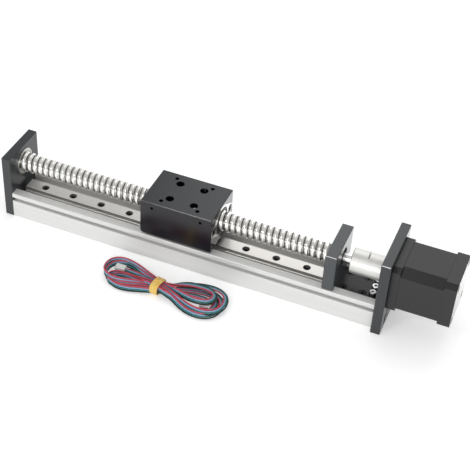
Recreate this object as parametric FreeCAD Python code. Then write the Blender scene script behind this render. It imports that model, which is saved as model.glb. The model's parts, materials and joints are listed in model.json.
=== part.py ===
import FreeCAD
import Part
import math
import os

# Ball screw linear module. Millimetres, +Z up, X along the screw towards the motor.
# The origin is the middle of the base profile's underside.

# Base profile: an aluminium extrusion with a wide channel for the rail
profile_length = 304.0
profile_width = 43.5
profile_height = 23.0
channel_depth = 11.5
profile_edge_radius = 0.6

# T-slots, one in each side wall and two in the underside
side_slot_height = 17.6
side_slot_opening = 3.4
side_slot_lip = 1.5
side_slot_cavity = 5.6
side_slot_depth = 3.8
bottom_slot_place = 13.0
bottom_slot_opening = 4.2
bottom_slot_lip = 1.4
bottom_slot_cavity = 7.4
bottom_slot_depth = 3.6

# Linear guide: 12 mm miniature rail with a long carriage
rail_width = 12.0
rail_height = 8.0
rail_start_gap = 2.8
rail_end_gap = 0.8
rail_first_hole = 15.3
rail_last_hole = 5.0
rail_top_chamfer = 0.5
rail_hole_pitch = 25.0
rail_hole_radius = 1.75
rail_counterbore_radius = 3.0
rail_counterbore_depth = 4.5
raceway_height = 5.5
raceway_radius = 1.3
raceway_offset = 0.4
carriage_width = 27.0
carriage_side_gap = 1.2
carriage_length = 45.4
carriage_body_length = 32.4
carriage_clearance_below = 3.0
guide_height = 13.0
carriage_seal_thickness = 1.0
carriage_foot_chamfer = 1.6
carriage_cap_inset = 0.3
carriage_seal_inset = 0.8
carriage_thread_spacing = 20.0

# Slider block and its travel
block_length = 59.0
block_side_gap = 0.65
block_above_axis = 14.5
block_offset = 11.7
block_corner_radius = 2.5
block_screw_seat = 3.5
block_access_radius = 3.25
table_thread_spacing = 30.0
table_thread_radius = 1.65
table_thread_depth = 10.0
side_thread_spacing = 40.0
side_thread_radius = 1.25
side_thread_drop = 5.0
side_thread_depth = 6.0

# Ball screw, 16 mm with 5 mm lead, and its nut
screw_radius = 8.0
nut_screw_gap = 0.44
journal_radius = 4.0
screw_shoulder_radius = 5.9
screw_shoulder_length = 1.0
screw_end_inset = 0.5
nut_radius = 12.0
nut_length = 30.0
nut_flange_thickness = 6.0
nut_ear_place = 16.0
nut_ear_radius = 4.4
nut_flange_rim = 0.5
wiper_radius = 11.0
wiper_thickness = 2.5
screw_passage_radius = 9.5

# Plates
plate_thickness = 7.5
end_plate_above_axis = 15.0
motor_plate_wing = 5.0
motor_plate_above_axis = 26.0
bearing_plate_thickness = 9.0
bearing_plate_side_gap = 1.25
bearing_plate_above_axis = 14.0
plate_chamfer = 0.4
plug_chamfer = 0.4
turned_chamfer = 0.5
plate_screw_place = 15.0
plate_screw_drop = 3.5

# Screw bearings, 8 x 22 x 7 mm with shields
bearing_radius = 11.0
bearing_width = 7.0
bearing_outer_ring = 1.5
bearing_inner_ring = 2.0
bearing_shield_thickness = 0.4
bearing_shield_recess = 0.3
end_bearing_proud = 0.7
end_bearing_window = 7.0
drive_bearing_window = 7.5

# Drive bay: base block, clamp coupling
drive_base_side_gap = 0.15
drive_base_height = 8.0
drive_screw_rise = 4.3
drive_screw_place = 11.4
clamp_screw_inset = 6.2
clamp_screw_spacing = 7.2
base_screw_place = 8.5
base_screw_start = 5.0
base_screw_spacing = 15.0
base_screw_depth = 6.0
bearing_plate_screw_place = 6.0
bearing_plate_screw_depth = 5.5
coupling_radius = 10.0
coupling_length = 25.0
coupling_gap = 7.2
coupling_end_gap = 1.6
coupling_turn = 14.0
coupling_split_width = 1.0
coupling_cross_width = 1.2
coupling_cross_reach = 2.0
screw_grip = 10.0
shaft_end_gap = 0.8
coupling_screw_inset = 5.2
coupling_screw_offset = 6.2
coupling_screw_seat = 2.5
coupling_screw_length = 8.0

# Stepper motor, 42.3 mm square with a 5 mm shaft
motor_width = 42.3
front_cap_length = 6.5
stack_length = 32.0
rear_cap_length = 9.5
cap_chamfer = 3.7
stack_chamfer = 6.4
pilot_radius = 11.0
pilot_height = 2.0
motor_screw_inset = 5.65
shaft_radius = 2.5
rotor_air_gap = 0.3
rotor_end_gap = 2.5
stator_wall = 9.65
winding_slot_wall = 3.55
winding_slot_width = 3.4
winding_slot_count = 8
winding_overhang = 3.4
winding_recess = 4.0
winding_gap = 0.3
winding_inset = 0.4
winding_bore_gap = 1.0
hub_radius = 10.0
motor_bearing_radius = 8.0
motor_bearing_width = 5.0
motor_bearing_ring = 1.2
motor_bearing_inset = 0.5
shaft_passage_radius = 3.5
rear_passage_depth = 7.0
shaft_rear_reach = 6.0
shaft_chamfer = 0.4
rotor_magnet_length = 4.0
rotor_magnet_step = 0.8
socket_length = 15.0
socket_thickness = 5.6
socket_height = 4.4
socket_wall = 0.9
socket_depth = 3.8
socket_bed = 2.8
socket_fit = 0.1
socket_pin_count = 6
socket_pin_pitch = 2.0
socket_pin_width = 0.5
socket_pin_inset = 0.8

# Clearances
seat_clearance = 0.05
running_clearance = 0.3
screw_hole_clearance = 0.2
head_sink = 0.2
hole_end_gap = 0.5

# Motor lead, tied into a flat hank on the floor beside the base
hank_height = 7.0
waist_place = (-9.5, -53.0)
waist_length = 13.0
waist_width = 12.0
waist_lift = 1.6
waist_height = 7.6
left_lobe = (-42.5, -50.0, 14.0)
left_lobe_wall = 4.0
right_lobe = (30.0, -53.5, 17.0)
right_lobe_wall = 6.0
loop_tip_reach = 1.6
loop_tip_half = 0.8
tie_width = 7.0
tie_thickness = 1.2
plug_size = (8.0, 5.0, 5.6)
plug_places = ((-44.5, -45.2), (31.5, -56.5))
plug_stub_lengths = (12.5, 7.0)
plug_stub_width = 3.0
plug_stub_span = (1.0, 4.4)

# Cap screws: thread radius, head radius, head height
M2_5 = (1.25, 2.25, 2.5)
M3 = (1.5, 2.75, 3.0)
M4 = (2.0, 3.5, 4.0)
M5 = (2.5, 4.25, 5.0)

# Places worked out from the sizes above
half_length = profile_length / 2
channel_width = carriage_width + 2 * carriage_side_gap
channel_floor = profile_height - channel_depth
end_plate_face = -half_length
drive_bay_length = bearing_plate_thickness + coupling_gap + coupling_length + coupling_end_gap
bearing_plate_start = half_length - drive_bay_length
bearing_plate_end = bearing_plate_start + bearing_plate_thickness
rail_start = end_plate_face + rail_start_gap
rail_end = bearing_plate_start - rail_end_gap
rail_length = rail_end - rail_start
rail_hole_count = int((rail_length - rail_first_hole - rail_last_hole) / rail_hole_pitch) + 1
rail_top = channel_floor + rail_height
drive_base_top = channel_floor + drive_base_height
block_bottom = channel_floor + guide_height
carriage_head_top = block_bottom + block_screw_seat + M3[2]
carriage_head_reach = carriage_thread_spacing / 2 - M3[1]
nut_rise = math.sqrt(nut_radius**2 - carriage_head_reach**2)
axis_height = round(carriage_head_top + nut_screw_gap + nut_rise, 1)
block_place = (end_plate_face + bearing_plate_start) / 2 + block_offset
block_width = profile_width - 2 * block_side_gap
block_top = axis_height + block_above_axis
block_start = block_place - block_length / 2
block_end = block_place + block_length / 2
side_thread_height = block_top - side_thread_drop
end_plate_height = axis_height + end_plate_above_axis
bearing_plate_width = profile_width - 2 * bearing_plate_side_gap
bearing_plate_height = axis_height + bearing_plate_above_axis - profile_height
motor_plate_width = profile_width + 2 * motor_plate_wing
motor_plate_height = axis_height + motor_plate_above_axis
motor_screw_spacing = motor_width - 2 * motor_screw_inset
rotor_length = stack_length - 2 * rotor_end_gap
stator_bore_radius = motor_width / 2 - stator_wall
rotor_radius = stator_bore_radius - rotor_air_gap
winding_slot_radius = motor_width / 2 - winding_slot_wall
plate_screw_height = channel_floor - plate_screw_drop
drive_screw_height = channel_floor + drive_screw_rise
end_bearing_face = end_plate_face + end_bearing_proud
coupling_start = bearing_plate_end + coupling_gap
coupling_end = coupling_start + coupling_length
screw_end = coupling_start + screw_grip
motor_face = half_length + plate_thickness
stack_start = motor_face + front_cap_length
rear_cap_start = stack_start + stack_length
motor_end = rear_cap_start + rear_cap_length
axis_point = FreeCAD.Vector(0, 0, axis_height)

X = FreeCAD.Vector(1, 0, 0)
Y = FreeCAD.Vector(0, 1, 0)
Z = FreeCAD.Vector(0, 0, 1)


def box(x, y, z):
    """A box from its (low, high) along each axis."""
    size = [high - low for low, high in (x, y, z)]
    return Part.makeBox(*size, FreeCAD.Vector(x[0], y[0], z[0]))


def span_about(middle, size):
    """The (low, high) of a size centred on a place."""
    return (middle - size / 2, middle + size / 2)


def rod(radius, start, end, y=0.0, z=axis_height):
    """A cylinder along X."""
    return Part.makeCylinder(radius, end - start, FreeCAD.Vector(start, y, z), X)


def tube(outer, inner, start, end):
    """A ring along X about the screw axis."""
    return rod(outer, start, end).cut(rod(inner, start, end))


def post(radius, low, high, x, y):
    """A cylinder along Z."""
    return Part.makeCylinder(radius, high - low, FreeCAD.Vector(x, y, low), Z)


def corners(spacing_a, spacing_b):
    """The four corners of a centred rectangle."""
    return [(a * spacing_a / 2, b * spacing_b / 2) for a in (-1, 1) for b in (-1, 1)]


def prism(points, axis_vector):
    """A straight-sided solid from its outline and the vector that it is drawn along."""
    return Part.Face(Part.makePolygon([*points, points[0]])).extrude(axis_vector)


def cut_all(solid, tools):
    """The solid without the tools."""
    return solid.cut(Part.makeCompound(tools))


def joined(pieces):
    """One solid from pieces that touch or overlap."""
    return pieces[0].multiFuse(pieces[1:]).removeSplitter()


def cap_screw(size, length, seat, direction):
    """A cap screw's head and shank. The head stands on the seat point and points along direction."""
    thread, head, head_height = size
    shank = Part.makeCylinder(thread, length, FreeCAD.Vector(0, 0, -length))
    screw = Part.makeCylinder(head, head_height).fuse(shank)
    screw.Placement = FreeCAD.Placement(seat, FreeCAD.Rotation(Z, direction))
    return screw


def screw_hole(size, length, seat, direction, head_depth=0.0):
    """What a cap screw needs cut away: its shank, and a counterbore above the seat if it has a depth."""
    thread, head, head_height = size
    hole = Part.makeCylinder(thread + seat_clearance, length, FreeCAD.Vector(0, 0, -length))
    if head_depth:
        hole = hole.fuse(Part.makeCylinder(head + screw_hole_clearance, head_depth))
    hole.Placement = FreeCAD.Placement(seat, FreeCAD.Rotation(Z, direction))
    return hole


def chamfered_box(x, y, z, size):
    """A box with all its edges broken."""
    solid = box(x, y, z)
    return solid.makeChamfer(size, solid.Edges)


def end_screw_seats(face, direction):
    """Where the M5 screws of an end plate seat, in counterbores open along direction."""
    depth = plate_thickness - M5[2] - head_sink
    return [
        FreeCAD.Vector(face + direction * depth, side * plate_screw_place, plate_screw_height)
        for side in (-1, 1)
    ]


end_plate_seats = end_screw_seats(-half_length, -1)
motor_plate_seats = end_screw_seats(half_length, 1)
end_screw_length = 16.0
drive_seat_depth = plate_thickness - M4[2] - head_sink
drive_seats = [
    FreeCAD.Vector(half_length + drive_seat_depth, side * drive_screw_place, drive_screw_height)
    for side in (-1, 1)
]
drive_screw_length = 12.0
bearing_plate_middle = bearing_plate_start + bearing_plate_thickness / 2
underside_seat_height = M4[2] + head_sink
bearing_plate_seats = [
    FreeCAD.Vector(bearing_plate_middle, side * bearing_plate_screw_place, underside_seat_height)
    for side in (-1, 1)
]
bearing_plate_screw_length = profile_height - underside_seat_height + bearing_plate_screw_depth
drive_base_seats = [
    FreeCAD.Vector(
        bearing_plate_end + base_screw_start + k * base_screw_spacing,
        side * base_screw_place,
        drive_base_top - M3[2] - head_sink,
    )
    for k in range(2)
    for side in (-1, 1)
]
drive_base_screw_length = drive_base_height - M3[2] - head_sink + base_screw_depth
clamp_screw_seats = [
    FreeCAD.Vector(half_length - clamp_screw_inset, k * clamp_screw_spacing, drive_base_top)
    for k in (-1, 0, 1)
]
clamp_screw_length = drive_base_height + base_screw_depth - 1.0
rail_holes = [rail_start + rail_first_hole + k * rail_hole_pitch for k in range(rail_hole_count)]
rail_screw_seats = [FreeCAD.Vector(x, 0, rail_top - rail_counterbore_depth) for x in rail_holes]
rail_screw_length = 10.0
carriage_screw_seats = [
    FreeCAD.Vector(block_place + a, b, block_bottom + block_screw_seat)
    for a, b in corners(carriage_thread_spacing, carriage_thread_spacing)
]
carriage_screw_length = 8.0
nut_screw_seats = [
    FreeCAD.Vector(block_end - M4[2] - head_sink, side * nut_ear_place, axis_height) for side in (-1, 1)
]
nut_screw_length = 10.0
motor_screw_seats = [
    FreeCAD.Vector(half_length + M3[2] + head_sink, a, axis_height + b)
    for a, b in corners(motor_screw_spacing, motor_screw_spacing)
]
motor_screw_grip = 3.4
motor_screw_length = plate_thickness - M3[2] - head_sink + motor_screw_grip
tie_screw_seats = [
    FreeCAD.Vector(motor_end - M3[2] - head_sink, a, axis_height + b)
    for a, b in corners(motor_screw_spacing, motor_screw_spacing)
]
tie_screw_length = motor_end - M3[2] - head_sink - motor_face - motor_screw_grip - hole_end_gap


def base_profile():
    """The extrusion: channel, T-slots, tapped ends and the holes for everything screwed to it."""
    run = (-half_length, half_length)
    half_width = profile_width / 2
    solid = box(run, (-half_width, half_width), (0, profile_height))
    long_edges = [e for e in solid.Edges if abs(e.tangentAt(e.FirstParameter).x) > 0.99]
    solid = solid.makeFillet(profile_edge_radius, long_edges)
    cuts = [box(run, (-channel_width / 2, channel_width / 2), (channel_floor, profile_height + 1))]
    for side in (-1, 1):
        outer = side * (half_width + 1)
        lip = side * (half_width - side_slot_lip)
        back = side * (half_width - side_slot_depth)
        cuts.append(box(run, sorted((outer, lip)), span_about(side_slot_height, side_slot_opening)))
        cuts.append(box(run, sorted((lip, back)), span_about(side_slot_height, side_slot_cavity)))
        mouth = span_about(side * bottom_slot_place, bottom_slot_opening)
        inside = span_about(side * bottom_slot_place, bottom_slot_cavity)
        cuts.append(box(run, mouth, (-1, bottom_slot_lip)))
        cuts.append(box(run, inside, (bottom_slot_lip, bottom_slot_depth)))
    cuts += [screw_hole(M5, end_screw_length + 4, seat, -X) for seat in end_plate_seats]
    cuts += [screw_hole(M5, end_screw_length + 4, seat, X) for seat in motor_plate_seats]
    cuts += [screw_hole(M3, rail_screw_length + hole_end_gap, seat, Z) for seat in rail_screw_seats]
    cuts += [screw_hole(M4, profile_height, seat, -Z, profile_height) for seat in bearing_plate_seats]
    cuts += [screw_hole(M3, drive_base_screw_length + hole_end_gap, seat, Z) for seat in drive_base_seats]
    cuts += [screw_hole(M3, clamp_screw_length + hole_end_gap, seat, Z) for seat in clamp_screw_seats]
    return cut_all(solid, cuts)


def bearing_pocket(start, end, window, plate):
    """A seat for an outer ring from start to end, and the window through the lip behind it."""
    return [rod(bearing_radius + seat_clearance, start, end), rod(window, plate[0], plate[1])]


def end_plate():
    """The free end's plate, with the bearing standing a little proud of its inner face."""
    span = (-half_length - plate_thickness, -half_length)
    solid = chamfered_box(span, span_about(0, profile_width), (0, end_plate_height), plate_chamfer)
    cuts = bearing_pocket(end_bearing_face - bearing_width, span[1] + 1, end_bearing_window, span)
    cuts += [screw_hole(M5, plate_thickness, seat, -X, plate_thickness) for seat in end_plate_seats]
    return cut_all(solid, cuts)


def bearing_plate():
    """The driven end's bearing plate: it stands on the walls, with a tongue down to the drive base."""
    span = (bearing_plate_start, bearing_plate_end)
    half = channel_width / 2 - drive_base_side_gap
    solid = chamfered_box(
        span,
        (-bearing_plate_width / 2, bearing_plate_width / 2),
        (profile_height, profile_height + bearing_plate_height),
        plate_chamfer,
    )
    solid = joined([solid, box(span, (-half, half), (drive_base_top, profile_height + 1))])
    cuts = bearing_pocket(span[0] - 1, span[0] + bearing_width, drive_bearing_window, span)
    cuts += [screw_hole(M4, bearing_plate_screw_length, seat, -Z) for seat in bearing_plate_seats]
    return cut_all(solid, cuts)


def motor_plate():
    """The plate that closes the driven end and carries the motor."""
    span = (half_length, half_length + plate_thickness)
    solid = chamfered_box(
        span, (-motor_plate_width / 2, motor_plate_width / 2), (0, motor_plate_height), plate_chamfer
    )
    cuts = [rod(pilot_radius + seat_clearance, span[0] - 1, span[1] + 1)]
    cuts += [screw_hole(M5, plate_thickness, seat, X, plate_thickness) for seat in motor_plate_seats]
    cuts += [screw_hole(M4, plate_thickness, seat, X, plate_thickness) for seat in drive_seats]
    cuts += [screw_hole(M3, plate_thickness, seat, -X, plate_thickness) for seat in motor_screw_seats]
    return cut_all(solid, cuts)


def drive_base():
    """The block that fills the channel under the coupling and ties the two plates together."""
    half = channel_width / 2 - drive_base_side_gap
    solid = chamfered_box(
        (bearing_plate_start, half_length), (-half, half), (channel_floor, drive_base_top), plate_chamfer
    )
    cuts = [screw_hole(M4, drive_screw_length + 1, seat, X) for seat in drive_seats]
    cuts += [screw_hole(M4, profile_height, seat, -Z) for seat in bearing_plate_seats]
    cuts += [screw_hole(M3, profile_height, seat, Z, channel_depth) for seat in drive_base_seats]
    cuts += [screw_hole(M3, profile_height, seat, Z) for seat in clamp_screw_seats]
    return cut_all(solid, cuts)


def rail_outline(clearance, top):
    """The rail's section with its two raceway grooves, grown by a clearance, up to a height."""
    half = rail_width / 2 + clearance
    groove = raceway_radius - clearance
    middle = rail_width / 2 + raceway_offset
    reach = math.sqrt(groove**2 - (middle - half) ** 2)
    edges = []
    for side in (1, -1):
        low = FreeCAD.Vector(0, side * half, channel_floor + raceway_height - reach)
        deep = FreeCAD.Vector(0, side * (middle - groove), channel_floor + raceway_height)
        high = FreeCAD.Vector(0, side * half, channel_floor + raceway_height + reach)
        foot = FreeCAD.Vector(0, side * half, channel_floor)
        crown = FreeCAD.Vector(0, side * half, top)
        wall = [
            Part.LineSegment(foot, low).toShape(),
            Part.Arc(low, deep, high).toShape(),
            Part.LineSegment(high, crown).toShape(),
        ]
        edges += wall
    left_foot = FreeCAD.Vector(0, -half, channel_floor)
    right_foot = FreeCAD.Vector(0, half, channel_floor)
    edges.append(Part.LineSegment(left_foot, right_foot).toShape())
    edges.append(Part.LineSegment(FreeCAD.Vector(0, -half, top), FreeCAD.Vector(0, half, top)).toShape())
    return Part.Face(Part.Wire(Part.__sortEdges__(edges)))


def rail_bar(clearance, start, end, top):
    """The rail's section drawn along X."""
    face = rail_outline(clearance, top)
    face.translate(X * start)
    return face.extrude(X * (end - start))


def guide_rail():
    """The ground steel rail with its row of counterbored holes."""
    solid = rail_bar(0.0, rail_start, rail_end, rail_top)
    top_edges = [
        e
        for e in solid.Edges
        if abs(e.BoundBox.ZMin - rail_top) < 0.01
        and abs(e.BoundBox.ZMax - rail_top) < 0.01
        and e.BoundBox.XLength > 1
    ]
    solid = solid.makeChamfer(rail_top_chamfer, top_edges)
    seat = rail_top - rail_counterbore_depth
    cuts = [post(rail_hole_radius, channel_floor - 1, rail_top, x, 0) for x in rail_holes]
    cuts += [post(rail_counterbore_radius, seat, rail_top + 1, x, 0) for x in rail_holes]
    return cut_all(solid, cuts)


def carriage_section(start, end, inset, clearance):
    """A length of the carriage: a saddle over the rail with its lower corners cut back."""
    half = carriage_width / 2 - inset
    low = channel_floor + carriage_clearance_below + inset
    high = block_bottom - inset
    cut_back = carriage_foot_chamfer
    outline = [
        FreeCAD.Vector(start, -half, low + cut_back),
        FreeCAD.Vector(start, -half + cut_back, low),
        FreeCAD.Vector(start, half - cut_back, low),
        FreeCAD.Vector(start, half, low + cut_back),
        FreeCAD.Vector(start, half, high),
        FreeCAD.Vector(start, -half, high),
    ]
    saddle = prism(outline, X * (end - start))
    return saddle.cut(rail_bar(clearance, start - 1, end + 1, rail_top + clearance))


def carriage_body():
    """The hardened saddle with its four tapped holes."""
    half = carriage_body_length / 2
    solid = carriage_section(block_place - half, block_place + half, 0.0, running_clearance)
    return cut_all(solid, [screw_hole(M3, carriage_screw_length, seat, Z) for seat in carriage_screw_seats])


def carriage_ends(inner, outer, inset, clearance):
    """The pair of pieces that lie between two distances from the carriage's middle."""
    return [
        carriage_section(block_place + inner, block_place + outer, inset, clearance),
        carriage_section(block_place - outer, block_place - inner, inset, clearance),
    ]


def flange_outline(start, end, radius, ear_radius):
    """A two-eared flange: a disc and two ears joined by their common tangents."""
    ear = nut_ear_place
    lean = math.acos((radius - ear_radius) / ear)
    corners_yz = []
    for side, up in ((1, 1), (1, -1), (-1, -1), (-1, 1)):
        near = (side * radius * math.cos(lean), up * radius * math.sin(lean))
        far = (side * (ear + ear_radius * math.cos(lean)), up * ear_radius * math.sin(lean))
        corners_yz += [near, far] if (side, up) in ((1, 1), (-1, -1)) else [far, near]
    points = [FreeCAD.Vector(start, y, axis_height + z) for y, z in corners_yz]
    web = prism(points, X * (end - start))
    ears = [rod(ear_radius, start, end, side * ear) for side in (-1, 1)]
    return joined([rod(radius, start, end), web, *ears])


def slider_block():
    """The table: nut bore from the driven side, flange pocket, screw access and tapped holes."""
    span = (block_start, block_end)
    half_width = block_width / 2
    solid = box(span, (-half_width, half_width), (block_bottom, block_top))
    free_side = [e for e in solid.Edges if e.BoundBox.XMax < block_start + 0.1]
    rounded = [e for e in free_side if e.BoundBox.ZMax < block_bottom + 0.1]
    solid = solid.makeFillet(block_corner_radius, rounded)
    sharp = [e for e in solid.Edges if e.BoundBox.ZMin > block_top - 0.1]
    solid = solid.makeChamfer(plate_chamfer, sharp)
    cuts = [
        rod(screw_passage_radius, block_start - 1, block_end),
        rod(nut_radius + seat_clearance, block_end - nut_length - seat_clearance, block_end + 1),
        flange_outline(
            block_end - nut_flange_thickness - seat_clearance,
            block_end + 1,
            nut_radius + nut_flange_rim + seat_clearance,
            nut_ear_radius + seat_clearance,
        ),
    ]
    cuts += [screw_hole(M4, nut_screw_length + 1, seat, X) for seat in nut_screw_seats]
    for seat in carriage_screw_seats:
        cuts.append(post(block_access_radius, seat.z, block_top + 1, seat.x, seat.y))
        cuts.append(screw_hole(M3, block_screw_seat + 1, seat, Z))
    thread_end = block_top - table_thread_depth
    for a, b in corners(table_thread_spacing, table_thread_spacing):
        cuts.append(post(table_thread_radius, thread_end, block_top + 1, block_place + a, b))
    for along in (-side_thread_spacing / 2, side_thread_spacing / 2):
        mouth = FreeCAD.Vector(block_place + along, -half_width - 1, side_thread_height)
        cuts.append(Part.makeCylinder(side_thread_radius, side_thread_depth + 1, mouth, Y))
    return cut_all(solid, cuts)


def ball_nut():
    """The nut: a plain body, a two-eared flange, and a wiper recess at each end."""
    start = block_end - nut_length
    solid = joined(
        [
            rod(nut_radius, start, block_end),
            flange_outline(
                block_end - nut_flange_thickness, block_end, nut_radius + nut_flange_rim, nut_ear_radius
            ),
        ]
    )
    recess = wiper_radius + seat_clearance
    cuts = [
        rod(screw_radius + running_clearance, start - 1, block_end + 1),
        rod(recess, block_end - wiper_thickness, block_end + 1),
        rod(recess, start - 1, start + wiper_thickness),
    ]
    cuts += [screw_hole(M4, nut_screw_length, seat, X, nut_flange_thickness) for seat in nut_screw_seats]
    return cut_all(solid, cuts)


def nut_wipers():
    """The plastic wipers that close the nut's two ends."""
    start = block_end - nut_length
    bore = screw_radius + running_clearance
    return [
        tube(wiper_radius, bore, block_end - wiper_thickness, block_end),
        tube(wiper_radius, bore, start, start + wiper_thickness),
    ]


def ball_screw():
    """The screw's ground blank: thread diameter, a shoulder and a journal at each end."""
    thread_start = end_bearing_face + screw_shoulder_length
    thread_end = bearing_plate_start - screw_shoulder_length
    steps = [
        (journal_radius, -half_length - plate_thickness + screw_end_inset, end_bearing_face),
        (screw_shoulder_radius, end_bearing_face, thread_start),
        (screw_radius, thread_start, thread_end),
        (screw_shoulder_radius, thread_end, bearing_plate_start),
        (journal_radius, bearing_plate_start, screw_end),
    ]
    solid = joined([rod(radius, start, end) for radius, start, end in steps])
    rims = [e for e in solid.Edges if e.BoundBox.XLength < 0.01]
    ends = [e for e in rims if e.BoundBox.XMax > screw_end - 0.01]
    ends += [e for e in rims if abs(e.BoundBox.ZLength - 2 * screw_radius) < 0.01]
    return solid.makeChamfer(turned_chamfer, ends)


def bearing_rings(start, width, outer, inner, ring_outer, ring_inner):
    """The outer and inner ring of one bearing."""
    outer_ring = tube(outer, outer - ring_outer, start, start + width)
    inner_ring = tube(inner + ring_inner, inner + seat_clearance / 2, start, start + width)
    return outer_ring, inner_ring


def bearing_shields(start):
    """The pair of thin shields pressed into one bearing's outer ring."""
    outer = bearing_radius - bearing_outer_ring - seat_clearance
    inner = journal_radius + bearing_inner_ring + running_clearance
    inset = bearing_shield_recess
    thick = bearing_shield_thickness
    return [
        tube(outer, inner, start + inset, start + inset + thick),
        tube(outer, inner, start + bearing_width - inset - thick, start + bearing_width - inset),
    ]


def coupling_screw_seats():
    """Where the clamp screws seat, one in each hub beside the bores, and the way their heads point."""
    turn = math.radians(coupling_turn)
    outward = Y * math.cos(turn) + Z * math.sin(turn)
    across = Y * math.sin(turn) - Z * math.cos(turn)
    beside = axis_point + outward * coupling_screw_offset + across * coupling_screw_seat
    places = (coupling_start + coupling_screw_inset, coupling_end - coupling_screw_inset)
    return [beside + X * x for x in places], across


def coupling_body():
    """The coupling: a bored bar split along one side, cut half across its middle, clamped by two screws."""
    middle = (coupling_start + coupling_end) / 2
    solid = rod(coupling_radius, coupling_start, coupling_end)
    solid = solid.makeChamfer(turned_chamfer, [e for e in solid.Edges if e.BoundBox.XLength < 0.01])
    run = (coupling_start - 1, coupling_end + 1)
    split = box(run, (0, coupling_radius + 1), span_about(axis_height, coupling_split_width))
    cross = box(
        span_about(middle, coupling_cross_width),
        (-coupling_cross_reach, coupling_radius + 1),
        span_about(axis_height, 3 * coupling_radius),
    )
    for slit in (split, cross):
        slit.rotate(axis_point, X, coupling_turn)
    cuts = [
        rod(journal_radius + seat_clearance, run[0], middle),
        rod(shaft_radius + seat_clearance, middle - 1, run[1]),
        split,
        cross,
    ]
    seats, across = coupling_screw_seats()
    cuts += [screw_hole(M2_5, coupling_screw_length, seat, across, coupling_radius) for seat in seats]
    return cut_all(solid, cuts)


def motor_prism(start, end, chamfer):
    """A square length of the motor with its four long corners cut off."""
    half = motor_width / 2
    flat = half - chamfer
    outline = [
        FreeCAD.Vector(start, y, axis_height + z)
        for y, z in (
            (flat, half),
            (half, flat),
            (half, -flat),
            (flat, -half),
            (-flat, -half),
            (-half, -flat),
            (-half, flat),
            (-flat, half),
        )
    ]
    return prism(outline, X * (end - start))


def cap_recess(start, end):
    """The room for the windings round a cap's bearing hub."""
    return tube(winding_slot_radius + winding_inset, hub_radius, start, end)


def motor_front_cap():
    """The front cap: pilot boss, bearing hub and the threads that the plate's screws use."""
    solid = joined(
        [
            motor_prism(motor_face, stack_start, cap_chamfer),
            rod(pilot_radius, motor_face - pilot_height, motor_face),
        ]
    )
    bearing_start = stack_start - motor_bearing_width - motor_bearing_inset
    cuts = [
        cap_recess(stack_start - winding_recess, stack_start),
        rod(motor_bearing_radius + seat_clearance, bearing_start, stack_start),
        rod(shaft_passage_radius, motor_face - pilot_height - 1, stack_start),
    ]
    for seat in motor_screw_seats:
        cuts.append(rod(M3[0] + seat_clearance, motor_face - 1, stack_start + 1, seat.y, seat.z))
    return cut_all(solid, cuts)


def motor_stack():
    """The stator stack: a bore for the rotor and slots for the windings."""
    solid = motor_prism(stack_start, rear_cap_start, stack_chamfer)
    cuts = [rod(stator_bore_radius, stack_start - 1, rear_cap_start + 1)]
    for k in range(winding_slot_count):
        slot = box(
            (stack_start - 1, rear_cap_start + 1),
            (0, winding_slot_radius),
            span_about(axis_height, winding_slot_width),
        )
        slot.rotate(axis_point, X, 360 / winding_slot_count * (k + 0.5))
        cuts.append(slot)
    for seat in tie_screw_seats:
        cuts.append(rod(M3[0] + seat_clearance, stack_start - 1, rear_cap_start + 1, seat.y, seat.z))
    return cut_all(solid, cuts)


def motor_windings():
    """The windings: bars through the stator's slots between two end rings."""
    inner = stator_bore_radius + winding_bore_gap
    outer = winding_slot_radius - winding_inset
    reach = winding_overhang
    gap = winding_gap
    pieces = [
        tube(outer, inner, stack_start - reach, stack_start - gap),
        tube(outer, inner, rear_cap_start + gap, rear_cap_start + reach),
    ]
    for k in range(winding_slot_count):
        bar = box(
            (stack_start - reach, rear_cap_start + reach),
            (inner + gap, outer - 2 * gap),
            span_about(axis_height, winding_slot_width - 2 * gap),
        )
        bar.rotate(axis_point, X, 360 / winding_slot_count * (k + 0.5))
        pieces.append(bar)
    return joined(pieces)


def socket_spans():
    """The connector's place on the far side of the rear cap."""
    middle = rear_cap_start + rear_cap_length / 2
    half = motor_width / 2
    return (
        span_about(middle, socket_thickness),
        (half - socket_bed, half + socket_height),
        span_about(axis_height, socket_length),
    )


def motor_rear_cap():
    """The rear cap, notched for the connector and counterbored for the long screws."""
    solid = motor_prism(rear_cap_start, motor_end, cap_chamfer)
    x, y, z = socket_spans()
    fit = socket_fit
    notch = box((x[0] - fit, x[1] + fit), (y[0] - fit, motor_width), (z[0] - fit, z[1] + fit))
    seat_end = rear_cap_start + motor_bearing_inset + motor_bearing_width
    cuts = [
        cap_recess(rear_cap_start, rear_cap_start + winding_recess),
        rod(motor_bearing_radius + seat_clearance, rear_cap_start, seat_end),
        rod(shaft_passage_radius, rear_cap_start, rear_cap_start + rear_passage_depth),
        notch,
    ]
    cuts += [screw_hole(M3, rear_cap_length, seat, X, rear_cap_length) for seat in tie_screw_seats]
    return cut_all(solid, cuts)


def motor_socket():
    """The connector: a shrouded box with six pins, open away from the motor."""
    x, y, z = socket_spans()
    solid = box(x, y, z)
    floor = y[1] - socket_depth
    wall = socket_wall
    mouth = box((x[0] + wall, x[1] - wall), (floor, y[1] + 1), (z[0] + wall, z[1] - wall))
    pins = []
    for k in range(socket_pin_count):
        place = axis_height + (k - (socket_pin_count - 1) / 2) * socket_pin_pitch
        across = span_about((x[0] + x[1]) / 2, socket_pin_width)
        along = (floor - socket_pin_width, y[1] - socket_pin_inset)
        pins.append(box(across, along, span_about(place, socket_pin_width)))
    return joined([solid.cut(mouth), *pins])


def motor_shaft():
    """The motor's shaft, from its grip in the coupling to the rear bearing."""
    shaft = rod(shaft_radius, screw_end + shaft_end_gap, rear_cap_start + shaft_rear_reach)
    return shaft.makeChamfer(shaft_chamfer, [e for e in shaft.Edges if e.BoundBox.XLength < 0.01])


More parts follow.
